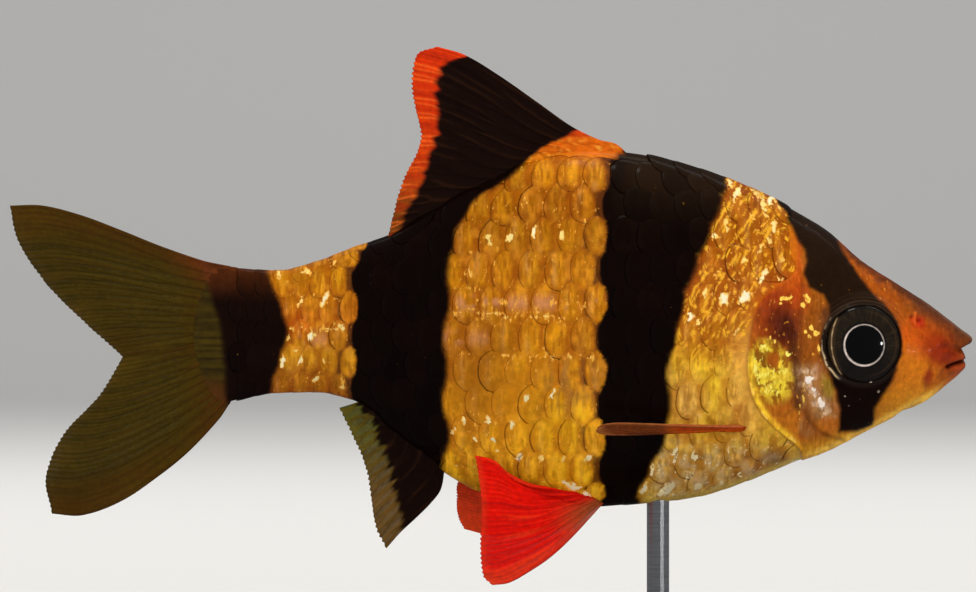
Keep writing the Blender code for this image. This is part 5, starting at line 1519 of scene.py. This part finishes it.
def paint_caudal(upper):
    def paint(x, y, u, v, ray):
        lines = noise(u * 70, v * 3.0, 0.0, 121)
        c = np.broadcast_to(tone(78, 62, 10), (*x.shape, 3)).copy()
        c = lay(c, tone(106, 80, 18), 0.5 * smooth(0.0, 0.7, noise(u * 6, v * 3, 0, 122)))
        c = lay(c, tone(56, 40, 8), 0.55 * ray)
        c = lay(c, tone(104, 70, 20), 0.30 * ray * smooth(0.1, 0.7, lines))
        c = lay(c, tone(50, 36, 8), 0.35 * smooth(0.0, 0.6, noise(u * 150, v * 4.0, 0.0, 124)))
        c = lay(c, tone(70, 44, 8), 0.5 * smooth(0.0, 0.7, noise(u * 3.0, v * 2.0, 0, 125)))
        rim = smooth(0.26, 0.02, u) if upper else smooth(0.74, 0.98, u)
        c = lay(c, tone(88, 50, 12), 0.55 * rim * (0.55 + 0.45 * smooth(-0.4, 0.4, noise(x / 14, y / 9, 0, 126))))
        root = smooth(172, 226, x)
        c = lay(c, tone(80, 44, 10), 0.55 * root)
        c = lay(c, tone(126, 48, 16), 0.7 * root * ray * smooth(-0.1, 0.5, lines))
        edge = smooth(0.93, 1.0, v)
        c = lay(c, tone(88, 66, 22), 0.4 * edge)
        c = c * np.array([0.60, 0.60, 0.40])
        if upper:
            c = lay(c, band_tone(np.full(x.shape, 240.0), y) * np.array([1.2, 1.0, 0.8]),
                    0.75 * smooth(160, 206, x) * smooth(0.42, 0.02, u) * (0.6 + 0.4 * smooth(-0.3, 0.4, lines)))
        cover = 0.92 + 0.08 * ray + 0.18 * root + 0.1 * rim - 0.05 * edge
        flank, _ = dark_bands(x, y, 3.0)
        band = flank * smooth(150, 170, x)
        c = lay(c, band_tone(x, y), band)
        return c, 0.05, 0.45, np.clip(cover + band, 0, 1)
    return paint


FORK = px(121.5, 357)
ROOT_MID = px(239, 335)
HALF_GAP = -0.03
fin(
    "fin_caudal_upper", ["caudal_fin_upper_lobe"], "clear_fin", FIN_SKIN,
    base=[px(240, 283), px(240, 303), (ROOT_MID[0], ROOT_MID[1] + HALF_GAP)],
    margin=[px(7, 206), px(14, 240), px(42, 283), px(82, 323), (FORK[0], FORK[1] + HALF_GAP)],
    lead=[px(240, 283), px(239, 268.8), px(230, 266.4), px(214, 263.2), px(200, 259.8), px(160, 246), px(120, 230), px(80, 215), px(40, 205), px(7, 205)],
    trail=[(ROOT_MID[0], ROOT_MID[1] + HALF_GAP), (FORK[0], FORK[1] + HALF_GAP)],
    lateral=tail_line, paint=paint_caudal(True), rays=9, cells=24, along_n=84, root_thick=0.30, thick=(0.20, 0.07),
    ridge=(0.10, 0.035), splits=(0.30, 0.60), scallop=0.12, seed=221,
)
fin(
    "fin_caudal_lower", ["caudal_fin_lower_lobe"], "clear_fin", FIN_SKIN,
    base=[(ROOT_MID[0], ROOT_MID[1] - HALF_GAP), px(240, 368), px(241, 386)],
    margin=[(FORK[0], FORK[1] - HALF_GAP), px(96, 397), px(60, 436), px(43, 478), px(49, 514)],
    lead=[(ROOT_MID[0], ROOT_MID[1] - HALF_GAP), (FORK[0], FORK[1] - HALF_GAP)],
    trail=[px(241, 386), px(229.5, 403), px(218, 420), px(188, 452), px(160, 475), px(120, 502), px(80, 516.5), px(49, 515)],
    lateral=tail_line, paint=paint_caudal(False), rays=9, cells=24, along_n=84, root_thick=0.30, thick=(0.20, 0.07),
    ridge=(0.10, 0.035), splits=(0.30, 0.60), scallop=0.12, seed=223,
)

PELVIC = dict(
    base=[px(603, 503), px(584, 494)],
    margin=[px(492, 582), px(483, 573), px(480, 545), px(481, 500), px(478, 472), px(475, 454)],
    lead=[px(603, 503), px(572, 536), px(551, 555), px(530, 569), px(509, 580), px(492, 582)],
    trail=[px(584, 494), px(557, 488), px(530, 482), px(509, 472), px(494, 459), px(475, 454)],
)


# the left one lies further back and higher, folded closer to the belly
PELVIC_LEFT = dict(
    base=[px(603, 503), px(584, 494)],
    margin=[px(464, 531), px(458, 520), px(456, 502), px(457, 484), px(465, 468), px(480, 456)],
    lead=[px(603, 503), px(575, 523), px(548, 534), px(520, 538), px(490, 537), px(464, 531)],
    trail=[px(584, 494), px(560, 484), px(535, 474), px(505, 464), px(480, 456)],
)


def pelvic_lateral(side, flare):
    def lateral(s, h, u, v):
        fan = 1.0 + flare * v ** 1.2 * (1 - 0.35 * u) + 0.35 * np.sin(math.pi * u) * v
        clear = np.where(h > belly(s) - 0.3, skin_y(s, h) + 0.55, 0.0)
        blend = np.minimum(v * 3.0, 1.0)
        return side * np.maximum(fan, clear * blend + (1 - blend) * fan) + swing(s)
    return lateral


def paint_pelvic(x, y, u, v, ray):
    lines = noise(u * 40, v * 2.5, 0.0, 131)
    c = np.broadcast_to(tone(198, 12, 4), (*x.shape, 3)).copy()
    c = lay(c, tone(218, 32, 8), 0.40 * ray * smooth(-0.3, 0.5, lines))
    c = lay(c, tone(226, 62, 24), 0.45 * smooth(0.15, 0.7, noise(u * 11, v * 1.6, 0.0, 133)) * smooth(0.2, 0.6, v))
    c = lay(c, tone(150, 8, 3), 0.40 * smooth(0.1, -0.5, lines) * (1 - ray))
    c = lay(c, tone(128, 70, 34), 0.85 * smooth(0.50, 0.05, v) * smooth(0.8, 0.25, u))
    c = lay(c, tone(160, 44, 20), 0.5 * smooth(0.12, 0.0, u))
    c = lay(c, tone(190, 60, 30), 0.35 * smooth(0.93, 1.0, v))
    cover = 0.90 + 0.1 * ray - 0.10 * smooth(0.35, 0.1, v) * smooth(0.5, 0.1, u)
    return c, 0.0, 0.45, np.clip(cover, 0, 1)


fin("fin_pelvic_right", ["pelvic_fin_right"], "red_fin", FIN_SKIN, lateral=pelvic_lateral(-1, 3.0), paint=paint_pelvic,
    rays=7, cells=20, along_n=64, root_thick=0.34, thick=(0.20, 0.08), splits=(0.28, 0.58), scallop=0.12, seed=231, **PELVIC)


def paint_pelvic_left_lit_through(x, y, u, v, ray):
    c, metal, rough, cover = paint_pelvic(x, y, u, v, ray)
    # painted light: the outer part of this fin is drawn lighter orange, as light shining through it
    return lay(c, tone(255, 84, 22), 0.55 * smooth(0.3, 0.8, v)), metal, rough, cover


fin("fin_pelvic_left", ["pelvic_fin_left"], "red_fin", FIN_SKIN, lateral=pelvic_lateral(1, 2.0), paint=paint_pelvic_left_lit_through,
    rays=7, cells=20, along_n=64, root_thick=0.34, thick=(0.20, 0.08), splits=(0.28, 0.58), scallop=0.12, seed=233,
    **PELVIC_LEFT)

PECT_BASE = (px(743, 425), px(742, 429))


def paint_pectoral(x, y, u, v, ray):
    c = np.broadcast_to(tone(120, 58, 22), (*x.shape, 3)).copy()
    c = lay(c, tone(78, 30, 10), 0.8 * ray)
    c = lay(c, tone(196, 84, 14), 0.85 * smooth(655, 680, x))
    c = lay(c, tone(140, 34, 6), 0.85 * smooth(660, 680, x) * smooth(0.35, 0.1, u))
    c = lay(c, tone(150, 88, 46), 0.7 * np.maximum(smooth(0.10, 0.0, u), smooth(0.90, 1.0, v)))
    return c, 0.0, 0.42, np.clip(0.62 + 0.38 * ray + smooth(0.25, 0.05, v) + smooth(0.06, 0.0, u), 0, 1)


def pectoral(name, stands_for, side):
    tip_y, inner_y, base_y = 7.7, 4.5, 3.3

    def lateral(s, h, u, v):
        reach = (tip_y - base_y) * (1 - u) ** 0.8 + (inner_y - base_y) * u
        y = base_y + reach * v ** (0.85 + 0.35 * u)
        return side * np.maximum(y, np.where(v > 0.25, skin_y(s, h) + 0.5, y))

    return fin(name, [stands_for], "clear_fin", FIN_SKIN,
               base=[PECT_BASE[0], PECT_BASE[1]],
               margin=[px(601, 421.5), px(595, 424.5), px(594, 429.5), px(604, 432.5), px(640, 432.5), px(672, 431.5)],
               lead=[PECT_BASE[0], px(700, 424), px(655, 421.8), px(617, 420.3), px(601, 421.5)],
               trail=[PECT_BASE[1], px(712, 430), px(672, 431.5)],
               lateral=lateral, paint=paint_pectoral, rays=8, cells=14, along_n=64, root_thick=0.30, thick=(0.16, 0.06),
               ridge=(0.10, 0.04), splits=(0.35, 0.66), scallop=0.12, wave=0.0, seed=241)


pectoral("fin_pectoral_left", "pectoral_fin_left", 1)
pectoral("fin_pectoral_right", "pectoral_fin_right", -1)


# ---------------------------------------------------------------- the stand
def wood():
    m = bpy.data.materials.new("dark_wood_grain")
    m.use_nodes = True
    t = m.node_tree
    b = t.nodes["Principled BSDF"]
    place = node(t, "ShaderNodeTexCoord")
    stretch = node(t, "ShaderNodeMapping")
    stretch.inputs["Scale"].default_value = (1.0, 9.0, 9.0)
    t.links.new(place.outputs["Object"], stretch.inputs["Vector"])
    grain = node(t, "ShaderNodeTexNoise")
    grain.inputs["Scale"].default_value = 230.0
    grain.inputs["Detail"].default_value = 6.0
    grain.inputs["Distortion"].default_value = 0.6
    t.links.new(stretch.outputs["Vector"], grain.inputs["Vector"])
    ramp = node(t, "ShaderNodeValToRGB")
    ramp.color_ramp.elements[0].position, ramp.color_ramp.elements[0].color = 0.32, (0.020, 0.009, 0.005, 1)
    ramp.color_ramp.elements[1].position, ramp.color_ramp.elements[1].color = 0.68, (0.105, 0.050, 0.026, 1)
    t.links.new(grain.outputs["Fac"], ramp.inputs["Fac"])
    t.links.new(ramp.outputs["Color"], b.inputs["Base Color"])
    pores = node(t, "ShaderNodeTexNoise")
    pores.inputs["Scale"].default_value = 900.0
    pores.inputs["Detail"].default_value = 2.0
    t.links.new(stretch.outputs["Vector"], pores.inputs["Vector"])
    bumps = node(t, "ShaderNodeBump")
    bumps.inputs["Strength"].default_value = 0.25
    bumps.inputs["Distance"].default_value = 0.03 * MM
    t.links.new(pores.outputs["Fac"], bumps.inputs["Height"])
    t.links.new(bumps.outputs["Normal"], b.inputs["Normal"])
    b.inputs["Roughness"].default_value = 0.38
    b.inputs["Coat Weight"].default_value = 0.5
    b.inputs["Coat Roughness"].default_value = 0.18
    return m


def steel():
    m = bpy.data.materials.new("brushed_steel")
    m.use_nodes = True
    t = m.node_tree
    b = t.nodes["Principled BSDF"]
    place = node(t, "ShaderNodeTexCoord")
    stretch = node(t, "ShaderNodeMapping")
    stretch.inputs["Scale"].default_value = (1.0, 1.0, 12.0)
    t.links.new(place.outputs["Object"], stretch.inputs["Vector"])
    lines = node(t, "ShaderNodeTexNoise")
    lines.inputs["Scale"].default_value = 700.0
    lines.inputs["Detail"].default_value = 4.0
    t.links.new(stretch.outputs["Vector"], lines.inputs["Vector"])
    ramp = node(t, "ShaderNodeValToRGB")
    ramp.color_ramp.elements[0].position, ramp.color_ramp.elements[0].color = 0.3, (0.50, 0.50, 0.51, 1)
    ramp.color_ramp.elements[1].position, ramp.color_ramp.elements[1].color = 0.7, (0.68, 0.68, 0.68, 1)
    t.links.new(lines.outputs["Fac"], ramp.inputs["Fac"])
    t.links.new(ramp.outputs["Color"], b.inputs["Base Color"])
    rough = node(t, "ShaderNodeMapRange")
    rough.inputs["To Min"].default_value = 0.22
    rough.inputs["To Max"].default_value = 0.42
    t.links.new(lines.outputs["Fac"], rough.inputs["Value"])
    t.links.new(rough.outputs["Result"], b.inputs["Roughness"])
    bumps = node(t, "ShaderNodeBump")
    bumps.inputs["Strength"].default_value = 0.15
    bumps.inputs["Distance"].default_value = 0.01 * MM
    t.links.new(lines.outputs["Fac"], bumps.inputs["Height"])
    t.links.new(bumps.outputs["Normal"], b.inputs["Normal"])
    b.inputs["Metallic"].default_value = 1.0
    return m


for label, made in (("stand_base", wood()), ("stand_rod", steel())):
    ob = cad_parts[label]
    ob.data.materials.clear()
    ob.data.materials.append(made)

# ---------------------------------------------------------------- floor, backdrop and light
def plain(name, colour, rough):
    m = bpy.data.materials.new(name)
    m.use_nodes = True
    t = m.node_tree
    b = t.nodes["Principled BSDF"]
    b.inputs["Roughness"].default_value = rough
    b.inputs["Specular IOR Level"].default_value = 0.1
    soft = node(t, "ShaderNodeTexNoise")
    soft.inputs["Scale"].default_value = 3.0
    place = node(t, "ShaderNodeTexCoord")
    t.links.new(place.outputs["Object"], soft.inputs["Vector"])
    ramp = node(t, "ShaderNodeValToRGB")
    ramp.color_ramp.elements[0].color = (*(c * 0.985 for c in colour), 1)
    ramp.color_ramp.elements[1].color = (*colour, 1)
    t.links.new(soft.outputs["Fac"], ramp.inputs["Fac"])
    t.links.new(ramp.outputs["Color"], b.inputs["Base Color"])
    return m


profile = [(-2.2, 0.0), (1.3, 0.0)]
profile += [(1.3 + 0.8 * math.sin(t), 0.8 - 0.8 * math.cos(t)) for t in np.linspace(0.08, math.pi / 2, 20)]
profile += [(2.1, 3.2)]
sweep = bpy.data.meshes.new("sweep")
pts = [(x, y, z) for y, z in profile for x in (-4.0, 4.0)]
sweep.from_pydata(pts, [], [(2 * i, 2 * i + 1, 2 * i + 3, 2 * i + 2) for i in range(len(profile) - 1)])
sweep.shade_smooth()
floor = bpy.data.objects.new("floor_sweep", sweep)
scene.collection.objects.link(floor)
sweep.materials.append(plain("pale_floor", (0.66, 0.655, 0.64), 0.85))
floor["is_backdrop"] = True
floor.visible_glossy = False

CENTRE = Vector((0.0, 0.0, 0.030))


def lamp(name, azimuth, elevation, distance, size, power, colour=(1, 1, 1), shape="RECTANGLE", size_y=None):
    """A soft light aimed at the fish.  Azimuth 0 is the camera's side, 90 the head's side."""
    light = bpy.data.lights.new(name, "AREA")
    light.shape = shape
    light.size = size
    if shape in ("RECTANGLE", "ELLIPSE"):
        light.size_y = size_y or size
    light.energy = power
    light.color = colour
    ob = bpy.data.objects.new(name, light)
    a, e = math.radians(azimuth), math.radians(elevation)
    to = Vector((math.sin(a) * math.cos(e), -math.cos(a) * math.cos(e), math.sin(e)))
    ob.location = CENTRE + to * distance
    ob.rotation_mode = "QUATERNION"
    ob.rotation_quaternion = to.to_track_quat("Z", "Y")
    scene.collection.objects.link(ob)
    return ob


for made in (
    lamp("key", 30, 60, 0.62, 0.30, 2.1, (1.0, 0.97, 0.92), size_y=0.22),
    lamp("front", 8, 18, 0.75, 0.42, 2.4, (1.0, 0.97, 0.93), size_y=0.30),
    lamp("fill", -50, 14, 0.75, 0.40, 1.0, (1.0, 0.98, 0.95), size_y=0.35),
    lamp("over", 0, 84, 0.66, 0.45, 0.9, (1.0, 0.99, 0.97), size_y=0.30),
    lamp("back_left", 215, 38, 0.80, 0.30, 1.6, (1.0, 0.98, 0.95), size_y=0.30),
    lamp("back_right", 140, 30, 0.80, 0.30, 1.2, (1.0, 0.98, 0.95), size_y=0.30),
):
    made.visible_glossy = False
lamp("spark", -12, 80, 0.45, 0.10, 0.12, (1.0, 0.98, 0.95), size_y=0.06)
lamp("catch", 46.0, 0.0, 0.30, 0.014, 0.022, shape="DISK")
wash = lamp("backdrop_wash", 0, 0, 0.1, 1.6, 16.0, (1.0, 0.99, 0.98), size_y=1.0)
wash.location = (0.0, 0.35, 1.25)
wash.rotation_quaternion = Vector((0.0, -0.85, 0.35)).to_track_quat("Z", "Y")

world = bpy.data.worlds.new("studio")
scene.world = world
world.use_nodes = True
w = world.node_tree
w.nodes["Background"].inputs["Color"].default_value = (0.93, 0.96, 1.0, 1)
w.nodes["Background"].inputs["Strength"].default_value = 0.16

scene.view_settings.view_transform = "Standard"
scene.view_settings.look = "None"
scene.view_settings.exposure = 0.0

# ---------------------------------------------------------------- camera
cam_data = bpy.data.cameras.new("camera")
cam_data.lens = 200.0
cam_data.sensor_width = 36.0
cam_data.clip_start = 0.01
cam_data.clip_end = 20.0
cam = bpy.data.objects.new("camera", cam_data)
cam.location = (-0.000088, -0.3633, 0.032178)
cam.rotation_euler = (math.pi / 2, 0, 0)
scene.collection.objects.link(cam)
scene.camera = cam

low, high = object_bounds()
